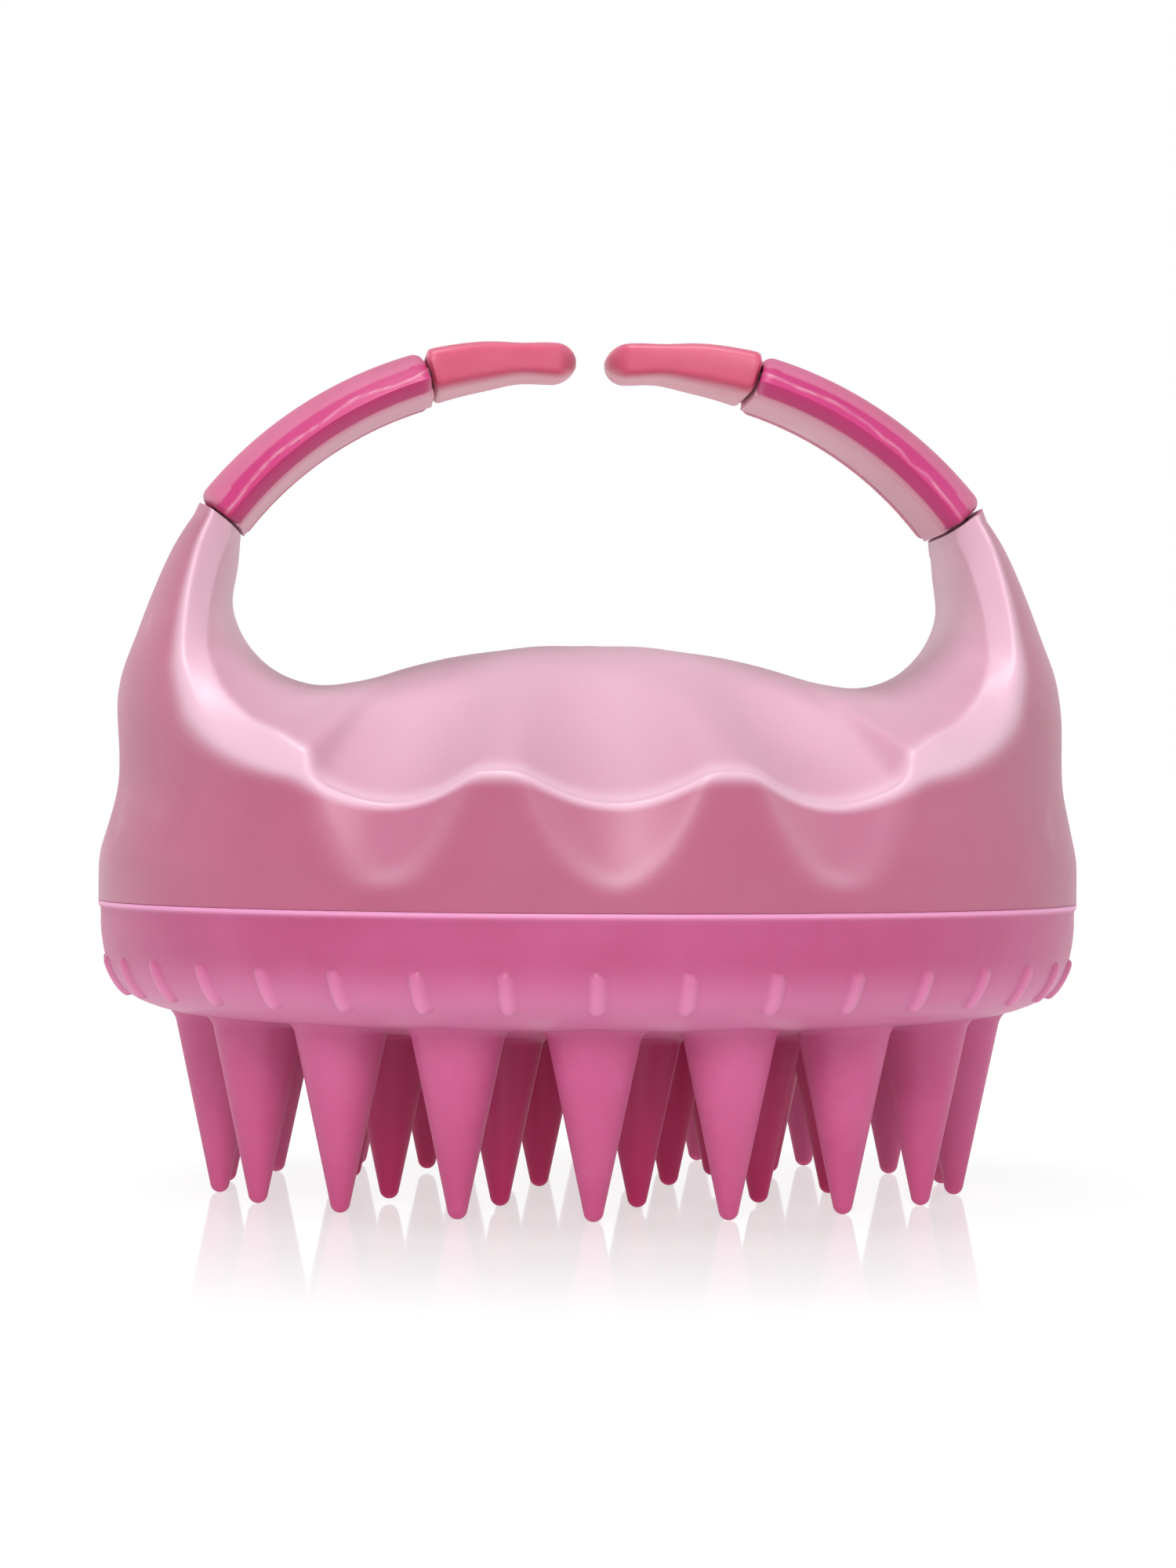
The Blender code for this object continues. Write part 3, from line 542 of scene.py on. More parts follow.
def softMax(first, second, width):
    # the larger of two, rounded where they meet: (a + b + sqrt((a - b)^2 + width^2)) / 2
    apart = first - second
    smooth = (first + second + np.sqrt(apart**2 + width**2)) / 2
    return np.where(apart > 6 * width, first, smooth)


def grooveAxes():
    yield 0.0, 0.0, shellForm["middleLength"]
    yield shellForm["sideGrooveDeg"], shellForm["sideGrooveTurnDeg"], shellForm["sideLength"]


def topDent(x, y):
    # a groove with an arc section, depth * (1 - (l/length)^2) - c^2 / (2 * arc), never below 0
    rim = flankRadius(np.array(shellForm["ridge"][0][1], float), 0)
    depth = 0 * x
    for rimDeg, turnDeg, length in grooveAxes():
        turn, at = math.radians(turnDeg), math.radians(rimDeg)
        dx, dy = np.abs(x) - rim * math.sin(at), np.abs(y) - rim * math.cos(at)
        inwards = np.clip(-(dx * math.sin(turn) + dy * math.cos(turn)) / length, 0, 1)
        crosswise = dx * math.cos(turn) - dy * math.sin(turn)
        dish = shellForm["grooveDepth"] * (1 - inwards**2) - crosswise**2 / (2 * shellForm["grooveArc"])
        depth = softMax(depth, dish, shellForm["topSoftness"])
    return depth


def flankDent(angleDeg, height):
    # the same groove leaving the flank: depth falls evenly to the groove's bottom; and the notch
    rise = (height - shellForm["grooveBottom"]) / (shellForm["ridge"][0][1] - shellForm["grooveBottom"])
    depth = 0 * height
    for rimDeg, _, _ in grooveAxes():
        across = np.radians(np.abs(angleDeg) - rimDeg) * baseRadius
        dish = shellForm["grooveDepth"] * rise - across**2 / (2 * shellForm["grooveArc"])
        depth = softMax(depth, dish, shellForm["flankSoftness"])
    across = np.radians(np.abs(angleDeg) - 90) * baseRadius / shellForm["notchHalfWidth"]
    up = (height - shellForm["notchHeight"]) / shellForm["notchHalfHeight"]
    return np.maximum(depth, shellForm["notchDepth"] * (1 - across**2 - up**2))


def crestLine(share):
    width = baseRadius - shellForm["hornInset"]
    points = [(width * x, seamZ + shellForm["crestHeight"] - drop) for x, drop in shellForm["saddle"]]
    inner, end = -shellForm["hornEndThickness"] / 2, armArc["hornEndDeg"]
    points.append(arcPoint(end - shellForm["hornSwellDeg"], inner - shellForm["hornSwell"]))
    points.append(arcPoint(end, inner))
    x, z = alongPath(points, share).T
    return np.stack([x, 0 * x, z], -1)


def hornEndHeight():
    slope, height = math.tan(math.radians(armArc["hornEndDeg"])), armArc["hornEndHeight"]
    for _ in range(20):
        height = armCentreZ - seamZ + (flankRadius(height, 90) - armArc["centreX"]) * slope
    return float(height)


def ridgeLine(share):
    knots = shellForm["ridge"] + [(shellForm["ridgeEndDeg"], hornEndHeight() - 1.2)]
    arc = [(baseRadius * math.radians(angle), height) for angle, height in knots]
    along, height = alongPath(arc, share).T
    return np.degrees(along / baseRadius), height


def skinPaintedLight(topRows, bandRows, flankRows, flankAngle, push):
    # painted light on the skin: the upper side and the band paler, a painted highlight line along the
    # ridge, and painted light in the grooves with painted highlights on their borders
    tone = shellPaintedLight
    # painted light over the upper side, paler towards the crest, and a painted highlight line at the rim
    fromRim = np.linspace(1, 0, topRows + 1) * tone["topReach"]
    overTop = np.interp(fromRim, [0, tone["topReach"]], [tone["rim"], tone["crest"]])
    overTop += (1 - overTop) * np.exp(-((fromRim / tone["rimLine"]) ** 2))
    # a painted highlight line down the flank under the ridge
    down = np.linspace(0, 1, flankRows + 1) * tone["flankReach"]
    ridge = np.exp(-((down / tone["ridgeLine"]) ** 2))
    paintedLightShade = np.tile(np.concatenate([overTop, np.full(bandRows - 1, 1.0), ridge]), (len(push), 1))
    # painted light in the front grooves, with painted highlights along their borders
    inFront = flankAngle < tone["frontDeg"]
    border = np.exp(-(((push - tone["borderAt"]) / tone["borderWidth"]) ** 2))
    border = border * smoothStep(push, *tone["borderFrom"]) * inFront
    groove = tone["groove"] * smoothStep(push, *tone["grooveFrom"]) * inFront
    groove = np.maximum(tone["border"] * border, groove)
    groove = soften(soften(groove, tone["softening"], 0), tone["softening"], 1)
    paintedLightShade[:, -flankRows - 1:] = np.maximum(paintedLightShade[:, -flankRows - 1:], groove)
    return paintedLightShade


def shellSkin(share, topRows, bandRows, flankRows):
    # cross-lines from the crest over the dome, the bevelled band and the flank, one per share
    crest = crestLine(share)
    angle, height = ridgeLine(share)
    low = np.minimum(share / shellForm["cornerShare"], 1)
    climb = np.clip((share - shellForm["cornerShare"]) / (1 - shellForm["cornerShare"]), 0, 1)
    lowAngle, lowHeight = 90 * low ** shellForm["cornerPace"], hornEndHeight() * climb
    ridge = onFlank(angle, height)
    sunk = topDent(ridge[:, 0], ridge[:, 1])
    push = np.maximum(flankDent(angle, height - sunk), 0)
    rim = onFlank(angle, height - sunk, push)
    widen = smoothStep(angle, *shellForm["bandGrowsDeg"])[:, None]
    degrees, *offsets = zip(*shellForm["band"])
    wide = np.stack([throughKnots(list(zip(degrees, offset)), angle) for offset in offsets], -1)
    narrow = np.array([0, shellForm["rimBevel"], shellForm["rimBevel"] / 3])
    inner = rim + narrow * (1 - widen) + wide * widen
    raised = inner + np.stack([0 * sunk, 0 * sunk, topDent(inner[:, 0], inner[:, 1])], -1)
    u = np.linspace(0, 1, topRows + 1)
    s = u + 0.25 * np.sin(math.pi * u) / math.pi
    bend = shellForm["domePower"] + shellForm["domePowerSide"] * smoothStep(angle, 45, 65)
    fall = s[None, :] ** bend[:, None]
    pace = np.stack([fall, np.broadcast_to(s, fall.shape), fall], -1)
    top = crest[:, None] + (raised - crest)[:, None] * pace
    top[..., 2] -= topDent(top[..., 0], top[..., 1])
    s = np.linspace(0, 1, bandRows + 1)[None, 1:-1, None]
    band = inner[:, None] + (rim - inner)[:, None] * s
    swell = shellForm["bandSwell"] * widen[:, :, None] * s * (1 - s) * 4
    band = band + swell * np.array([0.5, -1.0, 0.5])
    s = np.linspace(0, 1, flankRows + 1)[None, :]
    foot = lowHeight - shellForm["footDrop"] * (climb == 0)
    flankAngle = angle[:, None] + (lowAngle - angle)[:, None] * s
    flankHeight = (height - sunk)[:, None] + (foot - height + sunk)[:, None] * s
    flank = onFlank(flankAngle, flankHeight, np.maximum(flankDent(flankAngle, flankHeight), 0))
    paintedLightShade = skinPaintedLight(topRows, bandRows, flankRows, flankAngle, flankDent(flankAngle, flankHeight))
    return np.concatenate([top, band, flank], 1), paintedLightShade


def shellCavity(columns):
    # from the outer foot inwards, up the bore, over a step and the roof to the middle
    reach = baseRadius - shellForm["cavityInset"]
    rise = shellForm["crestHeight"] - shellForm["wallUnderDome"]
    bore = trayHigh[0] - shellForm["spigotStep"] + armArc["clearance"]
    ease = shellForm["footEase"]
    stepZ = shellForm["spigotHeight"] + armArc["clearance"]
    turn = np.linspace(math.acos(stepZ / rise), 0, 24)
    low = [baseRadius, baseRadius - ease, bore + ease, bore, bore]
    radius = np.concatenate([low, reach * np.sin(turn)])
    foot = -shellForm["footDrop"]
    height = np.concatenate([[foot, foot, foot, foot + ease, stepZ], rise * np.cos(turn)])
    angle = np.radians(columns)[:, None]
    x, y = radius * np.sin(angle), -radius * np.cos(angle)
    return np.stack([x, y, seamZ + height + 0 * angle], -1)


def hornEnd(end):
    # the horn's end face: a small bevel, then a slot for the arm's bead
    angle, depth = armArc["hornEndDeg"], armArc["hornSlotDepth"]
    out = np.hypot(end[:, 0] - armArc["centreX"], end[:, 2] - armCentreZ) - armRadius
    size = (armArc["neckHalfWidth"] + armArc["clearance"], armArc["mouthHalf"])
    slotY, slotOut = pocket(end[:, 1], out, size)
    rings = [end]
    for back, toSlot in ((0.0, 0.06), (0.0, 1.0), (depth, 1.0)):
        y = end[:, 1] + (slotY - end[:, 1]) * toSlot
        x, z = arcPoint(angle - arcDeg(back), out + (slotOut - out) * toSlot)
        rings.append(np.stack([x, y, z], -1))
    x, z = arcPoint(angle - arcDeg(depth), 0 * out)
    rings.append(np.stack([x, 0 * out, z], -1))
    face = np.stack(rings, 0)
    face[:, [0, -1], 1] = 0
    return face


def makeShell():
    corner = shellForm["cornerShare"]
    share = np.concatenate([np.linspace(0, corner, 105), np.linspace(corner, 1, 45)[1:]])
    skin, paintedLightShade = shellSkin(share, 78, 11, 58)
    low = share <= corner
    foot = skin[low, -1].copy()
    skin = np.concatenate([mirrored(skin[3:0:-1], -1, 1, 1), skin])
    skin = np.concatenate([mirrored(skin[:, 5:0:-1], 1, -1, 1), skin], 1)
    skin = soften(soften(skin, 4, 1), 2, 0)[3:, 5:]
    skin[low, -1] = foot
    skin[0, :, 0] = 0
    slope = math.tan(math.radians(armArc["hornEndDeg"]))
    skin[-1, :, 2] = armCentreZ + (skin[-1, :, 0] - armArc["centreX"]) * slope
    skin[:, 0, 1] = 0
    skin[~low, -1, 1] = 0
    cavity = shellCavity(90 * (share[low] / corner) ** shellForm["cornerPace"])
    cavity[:, 0] = skin[low, -1]
    cavity[0, :, 0] = 0
    cavity[-1, :, 1] = 0
    endFace = hornEnd(skin[-1])
    patches = []
    for sx in (1, -1):
        for sy in (1, -1):
            # the skin and its end face carry the painted light, the cavity none
            for patch, pale in ((skin, paintedLightShade), (cavity, 0.0), (endFace, paintedLightShade[-1])):
                patches.append((mirrored(patch, sx, sy, 1), False, False, pale))
    meshPiece("palmShell", patches, "handle", ["handle_shell"], shellFinish, crease=50)


makeShell()


# pad and bristles

padForm = {
    "columns": 864,
    "wall": 2.7,
    "side": [(25.125, 0.12), (25.10, 0.02), (24.98, 0.0), (24.74, 0.0), (24.62, 0.07), (24.52, 0.17),
             (24.3, 0.2), (23.0, 0.22), (21.75, 0.34), (20.4, 0.6), (19.0, 1.1), (17.7, 1.95),
             (16.7, 3.3), (16.05, 4.9)],  # height, inset
    "edge": [(36.0, 15.62), (33.5, 15.35), (26.0, 14.4), (14.0, 13.85), (0.0, 13.8)],
    "floorZ": 17.5,
    "ribs": 36,
    "ribMiddle": 18.55,
    "ribHalfLength": 2.0,
    "ribHalfWidth": 0.62,
    "ribHeight": 0.42,
    "ribPower": 0.8,
    # painted highlight on the ribs
    "ribPaintedHighlight": 0.2,
    "clockingDeg": -2.0,
    # painted highlight line on the lip, and painted light round the lower shoulder
    "lipPaintedHighlightZ": 24.92,
    "lipPaintedHighlightHalf": 0.25,
    "shoulderPaintedLight": 0.34,
    "shoulderZ": (21.5, 17.0),
    "shoulderRadius": (34.5, 37.5),
    "floorBend": 20.0,
    "ease": 0.4,
    "lipEase": 0.2,
}


def padUnder(radius):
    knots = sorted((r, z) for r, z in padForm["edge"])
    knots += [(baseRadius - inset, z) for z, inset in padForm["side"][:10:-1]]
    return throughKnots(knots, radius)


def makePad():
    # a profile (radius, z) turned about Z; ribs lift the shoulder by height * a capsule's shoulder
    side = alongPath([(baseRadius - inset, z) for z, inset in padForm["side"]], np.linspace(0, 1, 62))
    reach = np.linspace(side[-1, 0], 0, 26)[1:]
    under = np.stack([reach, padUnder(reach)], -1)
    innerR = baseRadius - padForm["wall"]
    floorZ, top = padForm["floorZ"], padForm["side"][0][0]
    ease, lipEase = padForm["ease"], padForm["lipEase"]
    inside = [(0.0, floorZ), (padForm["floorBend"], floorZ), (innerR - ease, floorZ),
              (innerR, floorZ + ease), (innerR, top - lipEase), (innerR + lipEase, top),
              (baseRadius - ease, top)]
    profile = np.concatenate([side, under, np.array(inside)])
    columns = padForm["columns"]
    angle = np.linspace(0, 2 * math.pi, columns, endpoint=False)[:, None]
    clock = math.radians(padForm["clockingDeg"])
    pitch = 2 * math.pi / padForm["ribs"]
    off = (angle - clock + pitch / 2) % pitch - pitch / 2
    radius, z = profile[:, 0][None, :], profile[:, 1][None, :]
    along = np.concatenate([[0], np.cumsum(np.hypot(*np.diff(side, axis=0).T))])
    middle = np.interp(-padForm["ribMiddle"], -side[:, 1], along)
    away = np.full(len(profile), 99.0)
    away[: len(side)] = along - middle
    straight = padForm["ribHalfLength"] - padForm["ribHalfWidth"]
    lengthwise = np.maximum(np.abs(away)[None, :] - straight, 0)
    capsule = np.hypot(lengthwise, off * baseRadius * 0.97) / padForm["ribHalfWidth"]
    rounded = np.sqrt(np.clip(1 - np.clip(capsule, 0, 1) ** 2, 0, 1))
    lift = padForm["ribHeight"] * rounded ** padForm["ribPower"]
    tangent = np.gradient(profile, axis=0)
    tangent /= np.maximum(np.linalg.norm(tangent, axis=1, keepdims=True), 1e-6)
    normal = np.stack([-tangent[:, 1], tangent[:, 0]], -1)  # the profile runs down its outer side
    radius = radius + lift * normal[:, 0]
    z = z + lift * normal[:, 1]
    radius = np.minimum(radius, baseRadius)
    grid = np.stack([radius * np.sin(angle), -radius * np.cos(angle), z + 0 * angle], -1)
    # painted highlights on the lip and the ribs, and painted light round the lower shoulder
    onLip = np.exp(-(((z - padForm["lipPaintedHighlightZ"]) / padForm["lipPaintedHighlightHalf"]) ** 2))
    onLip = onLip * (radius > baseRadius - 0.2)
    onRib = padForm["ribPaintedHighlight"] * lift / padForm["ribHeight"]
    high, low = padForm["shoulderZ"]
    onShoulder = smoothStep(-z, -high, -low) * smoothStep(radius, *padForm["shoulderRadius"])
    pale = np.clip(onLip + onRib + padForm["shoulderPaintedLight"] * onShoulder, 0, 1)
    meshPiece("padSkin", [(grid, True, True, pale)], "handle", ["bristle_pad"],
              padFinish, crease=60)


bristleForm = {
    # count, ring radius, first bearing, tip height, depth of painted shade
    "rings": [(18, 32.1, 0.0, 0.0, 0.0), (12, 22.0, 10.0, 0.25, 0.7), (6, 11.2, 38.0, 1.0, 1.0),
              (1, 0.0, 0.0, 1.2, 1.0)],
    "sides": 32,
    "noseRadius": 0.82,
    "taper": 0.2120,  # widening per millimetre of height
    "fillet": 0.4,
    # painted shade deepening towards the tips, up to this height
    "tipPaintedShade": 0.3,
    "tipPaintedShadeTo": 13.0,
    "sunk": 0.06,
    "lidRise": 0.5,
}


def makeBristles():
    # each bristle: a round nose, a straight cone, and a fillet that lies on the pad's underside
    nose, taper = bristleForm["noseRadius"], bristleForm["taper"]
    lean = math.atan(taper)
    patches = []
    turn = np.linspace(0, 2 * math.pi, bristleForm["sides"], endpoint=False)[None, :]
    for count, ringR, startDeg, tipZ, depth in bristleForm["rings"]:
        place = np.radians(startDeg + 360 / count * np.arange(count) + padForm["clockingDeg"])
        for bearing in place:
            x0, y0 = ringR * math.sin(bearing), -ringR * math.cos(bearing)
            rootZ = float(padUnder(ringR))
            noseTurn = np.linspace(0, math.pi / 2 - lean, 9)
            noseR, noseZ = nose * np.sin(noseTurn), tipZ + nose * (1 - np.cos(noseTurn))
            coneTop = rootZ - bristleForm["fillet"] * 1.1
            coneZ = np.linspace(noseZ[-1], coneTop, 14)[1:]
            coneR = noseR[-1] + taper * (coneZ - noseZ[-1])
            sweep = np.linspace(0, 1, 9)[1:]
            flareR = coneR[-1] + bristleForm["fillet"] * (1 - np.cos(sweep * math.pi / 2)) + taper * sweep
            flareZ = coneTop + (rootZ - coneTop) * np.sin(sweep * math.pi / 2)
            radius = np.concatenate([noseR, coneR, flareR])[:, None]
            height = np.concatenate([noseZ, coneZ, flareZ])[:, None]
            blend = np.concatenate([np.zeros(len(noseR) + len(coneR)), sweep])[:, None]
            x, y = x0 + radius * np.sin(turn), y0 - radius * np.cos(turn)
            under = padUnder(np.hypot(x, y)) + bristleForm["sunk"]
            z = height + blend * (under - rootZ)
            skin = np.stack([x, y, z], -1)
            lid = skin[-1] + np.array([0, 0, bristleForm["lidRise"]])
            middle = np.broadcast_to(lid.mean(0), lid.shape)
            grid = np.concatenate([skin, lid[None], middle[None]])
            # painted shade: deeper on the inner rings and towards the tips
            toTip = bristleForm["tipPaintedShade"] * (1 - np.clip(grid[..., 2] / bristleForm["tipPaintedShadeTo"], 0, 1))
            patches.append((grid, False, True, np.clip(depth + toTip, 0, 1)))
    meshPiece("padBristles", patches, "handle", [], bristleFinish, crease=60)


makePad()
makeBristles()


# arms

sleeveForm = {
    "outRoot": 2.6,
    "outTip": 2.1,
    "inner": 2.1,
    "halfWidth": 11.2,
    "flatHalf": 8.2,
    "edgeIn": 0.9,
    "coreHalf": 7.2,
    "coreOut": 0.6,
    "coreSquareness": 0.12,
    "coreFlatness": 0.25,
    "rounding": 0.9,
    "crownPower": 3.4,
    "flashProud": 0.26,
    "flashHalf": 0.12,
    "flashAbove": 0.55,  # over the parting line, give or take the waver
    "flashWaver": 0.16,
    # painted highlight on the flash, and painted light on the crown's top
    "flashPaintedHighlight": 0.8,
    "crownPaintedLight": 0.32,
}
tipForm = {
    "thick": (4.0, 3.0),
    "halfWidth": (9.0, 5.2),
    "roundFrom": 0.85,
    "rounding": 0.7,
    "waist": 0.22,
    "waistAt": 0.62,
    "waistHalf": 0.16,
    "squareness": 0.38,
    "flatness": 0.42,
    # painted light along the tip's outer and inner edges
    "outerPaintedLight": 0.85,
    "innerPaintedLight": 0.5,
}


def sleeveSpan():
    low = armArc["hornEndDeg"] + arcDeg(armArc["rootGap"])
    return low, armArc["sleeveEndDeg"] - arcDeg(armArc["tipGap"] / 2)


def makeSleeve(side, word, seed):
    # section: a crown falling as a power of |y| to the parting line, a bevel, and the channel
    low, high = sleeveSpan()
    f, gap = sleeveForm, armArc["clearance"]
    length = math.radians(high - low) * armRadius
    r = f["rounding"]
    bow = r * (1 - np.cos(np.linspace(0, math.pi / 2, 7)))
    at = np.concatenate([bow, np.linspace(r, length - r, 90)[1:-1], length - bow[::-1]])
    fromEnd = np.minimum(at, length - at)
    inset = r - np.sqrt(np.clip(r * r - np.clip(r - fromEnd, 0, r) ** 2, 0, None))
    v = (at / length)[:, None]
    inset = inset[:, None]
    rng = np.random.default_rng(seed)
    waver = np.interp(at, np.linspace(0, length, 14), rng.normal(0, f["flashWaver"], 14))[:, None]
    burr = np.interp(at, np.linspace(0, length, 34), rng.uniform(0.25, 1.0, 34))[:, None]
    crown = f["outRoot"] + (f["outTip"] - f["outRoot"]) * v - inset
    wide = f["halfWidth"] - inset
    t = np.linspace(-1, 1, 61)
    t = np.sign(t) * (1 - (1 - np.abs(t)) ** 1.7)
    crownY = wide * t
    crownOut = crown - (crown + f["edgeIn"]) * np.abs(t) ** f["crownPower"]
    # the rest of the ring on the +y side, from the parting line to the channel's roof
    flat = f["flatHalf"] - 0.4 * inset
    inner = f["inner"] - inset
    down = np.linspace(0, 1, 9)[1:]
    bevelY = wide + (flat - wide) * down**1.2
    bevelOut = -f["edgeIn"] + (-inner + f["edgeIn"]) * down
    channel, roof = f["coreHalf"] + gap, f["coreOut"] + gap
    one = np.ones_like(v)
    walls = [one * y for y in (channel + 0.1, channel, channel, channel - 0.5)]
    restY = np.concatenate([bevelY, *walls], 1)
    restOut = np.concatenate([bevelOut, -inner, -inner + 0.1, one * (roof - 0.3), one * roof], 1)
    across = np.concatenate([crownY, restY, -restY[:, ::-1]], 1)
    out = np.concatenate([crownOut, restOut, restOut[:, ::-1]], 1)
    # the flash left by the mould along the parting line
    line = -f["edgeIn"] + f["flashAbove"] + waver
    front = np.abs(across) > f["flatHalf"]
    lift = f["flashProud"] * burr * np.exp(-(((out - line) / f["flashHalf"]) ** 2)) * front
    lift *= np.clip(1 - inset / r, 0, 1)
    across = across + np.sign(across) * lift
    grid = arcSweep(low + np.degrees(at / armRadius), across, out, side)
    columns = grid.shape[1]
    last = (grid.shape[0] - 1) * columns
    caps = [range(columns), range(last, last + columns)]
    # painted light: lighter on top, deep in front, pale underneath, and a painted highlight on the flash
    under = smoothStep(-out, f["inner"] - 0.3, f["inner"] - 0.2) * (np.abs(across) < f["flatHalf"] + 1.2)
    crownSide = smoothStep(np.abs(across), f["halfWidth"] - 1.5, f["halfWidth"] - 0.9)
    onTop = f["crownPaintedLight"] * (1 - crownSide) * (out > f["coreOut"])
    pale = np.clip(np.maximum(under, onTop) + f["flashPaintedHighlight"] * lift / f["flashProud"], 0, 1)
    meshPiece(f"gripSleeve_{word}", [(grid, False, True, pale)], f"{word}_arm",
              [f"grip_sleeve_{word}"], gripFinish, caps=caps, crease=50)


def makeCore(side, word):
    # one sweep whose thickness is a bead, a neck, the bar, a neck and a bead
    low, high = sleeveSpan()
    f, bead = sleeveForm, armArc["beadRadius"]
    start = armArc["hornEndDeg"] - arcDeg(armArc["beadInHorn"])
    end = armArc["sleeveEndDeg"] + arcDeg(armArc["tipGap"] / 2 + armArc["beadInTip"])
    step = 1e-4
    ball = np.degrees(bead * np.cos(np.linspace(math.pi, 0.45, 14)) / armRadius)
    angle = np.concatenate([start + ball, [low - step], [low + step], np.linspace(low, high, 60)[1:-1],
                            [high - step, high + step], (end - ball)[::-1]])
    inBar = (angle > low) & (angle < high)
    away = np.minimum(np.abs(angle - start), np.abs(angle - end)) * math.radians(1) * armRadius
    ballHalf = np.sqrt(np.clip(bead**2 - away**2, 0, None))
    neckHalf = np.where(away < bead * 0.8, 0, armArc["neckHalfThick"])
    half = np.where(inBar, 0, np.maximum(ballHalf, neckHalf))
    inner = np.where(inBar, f["inner"], half)[:, None]
    outer = np.where(inBar, f["coreOut"], half)[:, None]
    wide = np.where(inBar, f["coreHalf"], armArc["neckHalfWidth"])[:, None]
    turn = np.linspace(0, 2 * math.pi, 48, endpoint=False)[None, :]
    c, s = np.cos(turn), np.sin(turn)
    y = wide * signedPower(c, f["coreSquareness"])
    lift = signedPower(s, f["coreFlatness"])
    out = np.where(lift > 0, outer * lift, inner * lift)
    out = np.where(inBar[:, None], out, half[:, None] * lift)
    grid = arcSweep(angle, y, out, side)
    columns = grid.shape[1]
    last = (grid.shape[0] - 1) * columns
    caps = [range(columns), range(last, last + columns)]
    meshPiece(f"armCore_{word}", [(grid, False, True, 0.0)], f"{word}_arm",
              [f"arm_core_{word}"], coreFinish, caps=caps, crease=45)


def makeTip(side, word):
    # a rounded flat oval that thins and narrows, with a waist before its round end
    low = armArc["sleeveEndDeg"] + arcDeg(armArc["tipGap"] / 2)
    length = math.radians(tipEndDeg - low) * armRadius
    f = tipForm
    u = np.linspace(0, 1, 70)
    share = 1 - (1 - u) ** 1.6
    past = np.clip(share - f["roundFrom"], 0, None) / (1 - f["roundFrom"])
    close = np.sqrt(np.clip(1 - past**2, 0, 1))
    r = f["rounding"]
    start = np.clip(r - share * length, 0, r)
    inset = (r - np.sqrt(r * r - start**2))[:, None]
    waist = f["waist"] * np.exp(-(((share - f["waistAt"]) / f["waistHalf"]) ** 2))
    thick = (f["thick"][0] + (f["thick"][1] - f["thick"][0]) * share) / 2
    half = f["halfWidth"][0] + (f["halfWidth"][1] - f["halfWidth"][0]) * share
    turn = np.linspace(0, 2 * math.pi, 64, endpoint=False)[None, :]
    c, s = np.cos(turn), np.sin(turn)
    y = (half * close)[:, None] * signedPower(c, f["squareness"]) - np.sign(c) * inset
    out = ((thick - waist) * close)[:, None] * signedPower(s, f["flatness"]) - np.sign(s) * inset * 0.8
    angle = low + np.degrees(share * length / armRadius)
    rings = [arcSweep(angle, y, out, side)]
    size = (armArc["neckHalfWidth"] + armArc["clearance"], armArc["mouthHalf"] + 0.2)
    slotY, slotOut = pocket(y[0], out[0], size)
    front = []
    for back in (armArc["tipSlotDepth"], 0.0):
        front.append(arcSweep(np.array([low + arcDeg(back)]), slotY[None], slotOut[None], side))
    middle = np.broadcast_to(front[0].mean(1, keepdims=True), front[0].shape)
    grid = np.concatenate([middle] + front + rings)
    # painted light along the outer and the inner edge
    edge = np.where(s < 0, f["innerPaintedLight"] * np.abs(s) ** 9, f["outerPaintedLight"] * np.abs(s) ** 3.5)
    meshPiece(f"armTip_{word}", [(grid, False, True, edge)], f"{word}_tip",
              [f"arm_tip_{word}"], tipFinish, crease=50)


for side, word, seed in ((-1, "left", 5), (1, "right", 8)):
    makeSleeve(side, word, seed)
    makeCore(side, word)
    makeTip(side, word)


# inner pieces keep their own meshes and get a finish

def refinish(node, finish):
    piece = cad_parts[node]
    piece.data.materials.clear()
    piece.data.materials.append(finish)


refinish("carrier_tray", trayFinish)
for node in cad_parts:
    if node.startswith("tray_screw"):
        refinish(node, steelFinish)


# floor, light and camera

studio = {
    "floorHalf": 2.0,
    "floorTone": (0.15, 0.15, 0.15, 1),
    "floorSpeck": (0.16, 0.16, 0.16, 1),
    "glowFade": (0.2, 0.7),
    "floorGlow": 0.88,
    "mirrorShare": 0.28,
    "mirrorRoughness": 0.06,
    "mirrorFrom": 0.040,
    "mirrorTo": 0.125,
    "ring": 1.0,
    "ringFade": (0.20, 0.45),  # height on the unit sphere
    "above": 0.12,
    "aim": (0, 0, 0.04),
    "boxes": [("topBox", (-0.15, 0.0, 0.85), (0.45, 0.4), 4.6),
              ("frontBox", (-0.12, -0.72, 0.5), (0.3, 0.3), 3.8),
              ("rightBox", (0.8, -0.1, 0.4), (0.4, 0.5), 1.0)],  # name, place, size, watts
    "cameraDistance": 0.4090,
    "cameraHeight": 0.03526,
    "cameraAzimuthDeg": -3.1,
    "rollDeg": 0.287,
    "lens": 107.5,
}


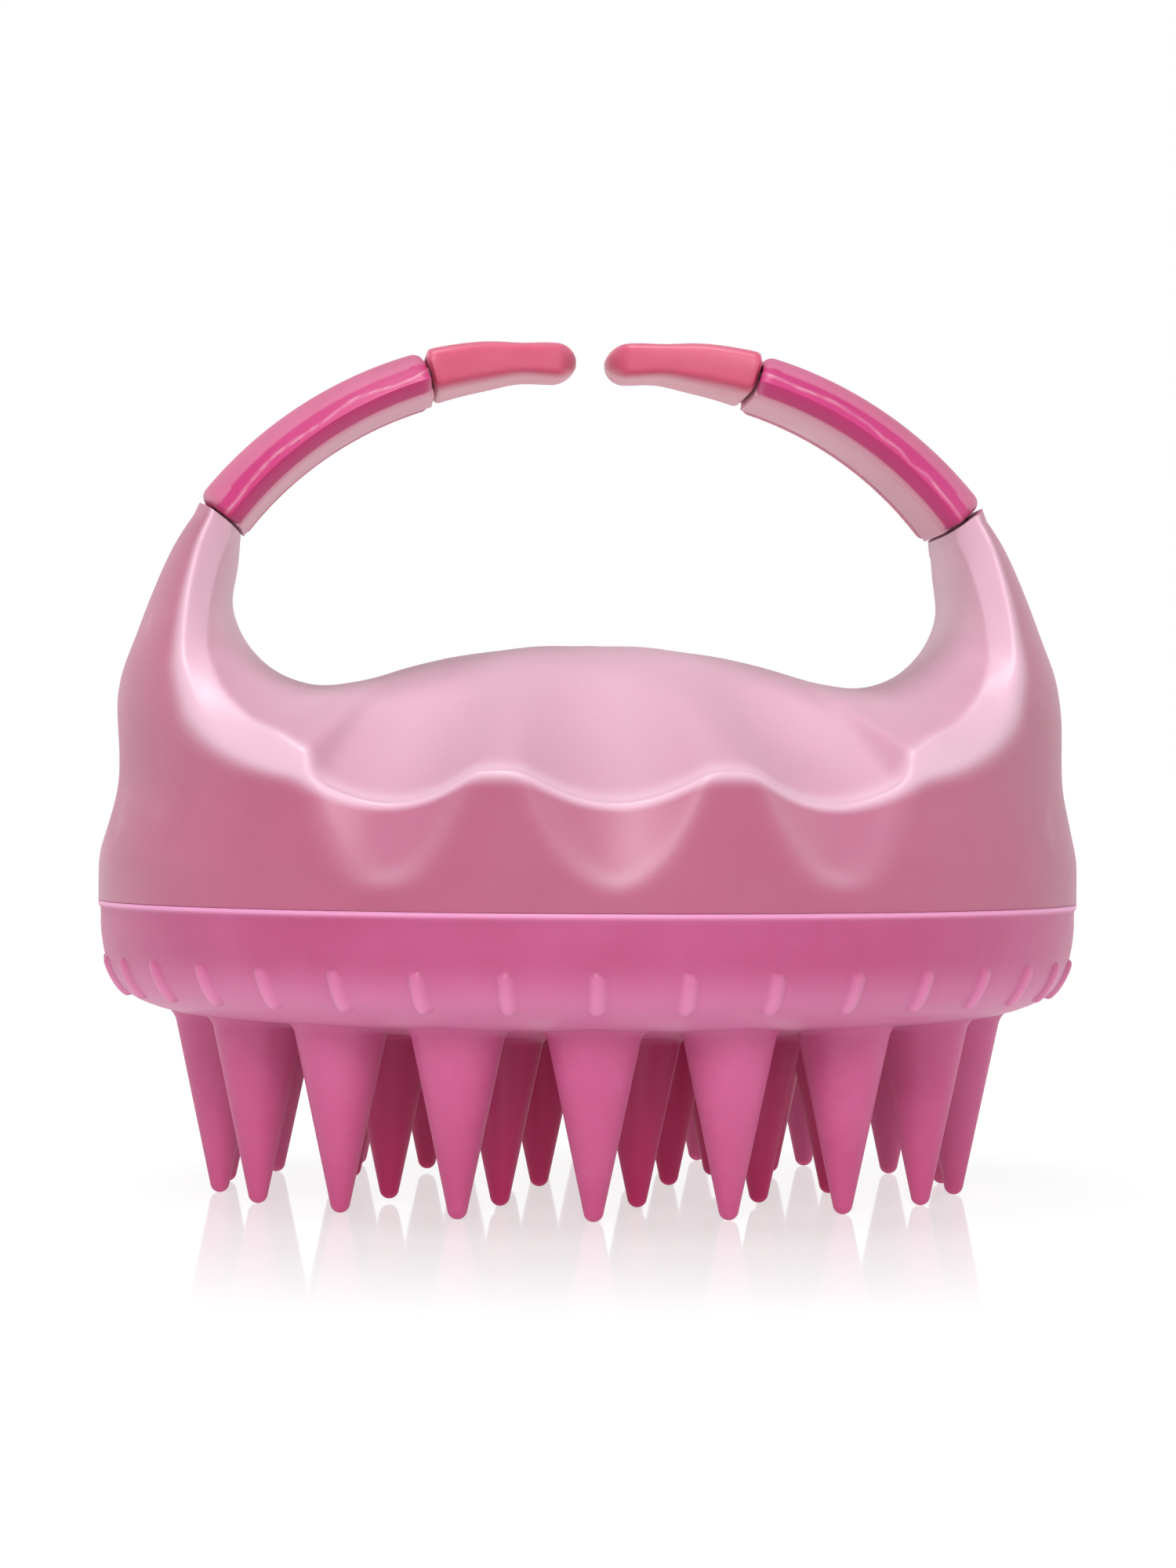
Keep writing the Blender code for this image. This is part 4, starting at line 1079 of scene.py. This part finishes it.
def makeFloor():
    # pale board, with a clear gloss that fades away from the middle
    shop = FinishShop("floorSweep")
    speck = shop.noise(40.0, 3.0)
    away = shop.add("ShaderNodeVectorMath", {"operation": "LENGTH"}, {0: shop.place()}, output="Value")
    near = (studio["floorGlow"],) * 3 + (1,)
    glow = shop.blendColours(shop.band(away, *studio["glowFade"]), near, (1, 1, 1, 1))
    shop.set(
        Base_Color=shop.blendColours(speck, studio["floorTone"], studio["floorSpeck"]),
        Roughness=0.6 + speck * 0.1,
        Specular_IOR_Level=0.0,
        Emission_Color=glow,
        Emission_Strength=1.0,
    )
    share = shop.band(away, studio["mirrorFrom"], studio["mirrorTo"], studio["mirrorShare"], 0.0)
    sockets = {"Color": (1, 1, 1, 1), "Roughness": studio["mirrorRoughness"]}
    gloss = shop.add("ShaderNodeBsdfGlossy", inputs=sockets)
    mixed = shop.add("ShaderNodeMixShader", inputs={0: share, 2: gloss})
    shop.tree.links.new(shop.shader.outputs[0], mixed.socket.node.inputs[1])
    shop.tree.links.new(mixed.socket, shop.tree.nodes["Material Output"].inputs["Surface"])
    half = studio["floorHalf"]
    mesh = bpy.data.meshes.new("studioFloor")
    corners = [(-half, -half, 0), (half, -half, 0), (half, half, 0), (-half, half, 0)]
    mesh.from_pydata(corners, [], [(0, 1, 2, 3)])
    floor = bpy.data.objects.new("studioFloor", mesh)
    bpy.context.scene.collection.objects.link(floor)
    mesh.materials.append(shop.owner)


def makeWorld():
    # a white ring all round at eye level, dim above it, where the soft boxes hang
    world = bpy.data.worlds.new("studioTent")
    bpy.context.scene.world = world
    shop = FinishShop("studioTent", world)
    where = shop.add("ShaderNodeTexCoord", output="Generated")
    up = shop.add("ShaderNodeSeparateXYZ", inputs={0: where}, output="Z")
    low, high = studio["ringFade"]
    shop.set(Color=(1, 1, 1, 1), Strength=shop.band(up, low, high, studio["ring"], studio["above"]))


def softBox(name, place, size, power):
    light = bpy.data.lights.new(name, "AREA")
    light.shape = "RECTANGLE"
    light.size, light.size_y = size
    light.energy = power
    lamp = bpy.data.objects.new(name, light)
    lamp.location = place
    direction = Vector(studio["aim"]) - Vector(place)
    lamp.rotation_euler = direction.to_track_quat("-Z", "Y").to_euler()
    bpy.context.scene.collection.objects.link(lamp)


def makeCamera():
    turn = math.radians(studio["cameraAzimuthDeg"])
    data = bpy.data.cameras.new("shotCamera")
    data.lens = studio["lens"]
    data.sensor_width = 36.0
    data.clip_start = 0.01
    camera = bpy.data.objects.new("shotCamera", data)
    reach = studio["cameraDistance"]
    camera.location = (reach * math.sin(turn), -reach * math.cos(turn), studio["cameraHeight"])
    camera.rotation_euler = (math.radians(90), -math.radians(studio["rollDeg"]), turn)
    bpy.context.scene.collection.objects.link(camera)
    bpy.context.scene.camera = camera


makeFloor()
makeWorld()
for box in studio["boxes"]:
    softBox(*box)
makeCamera()
bpy.context.scene.view_settings.view_transform = "Standard"
print("studio set")
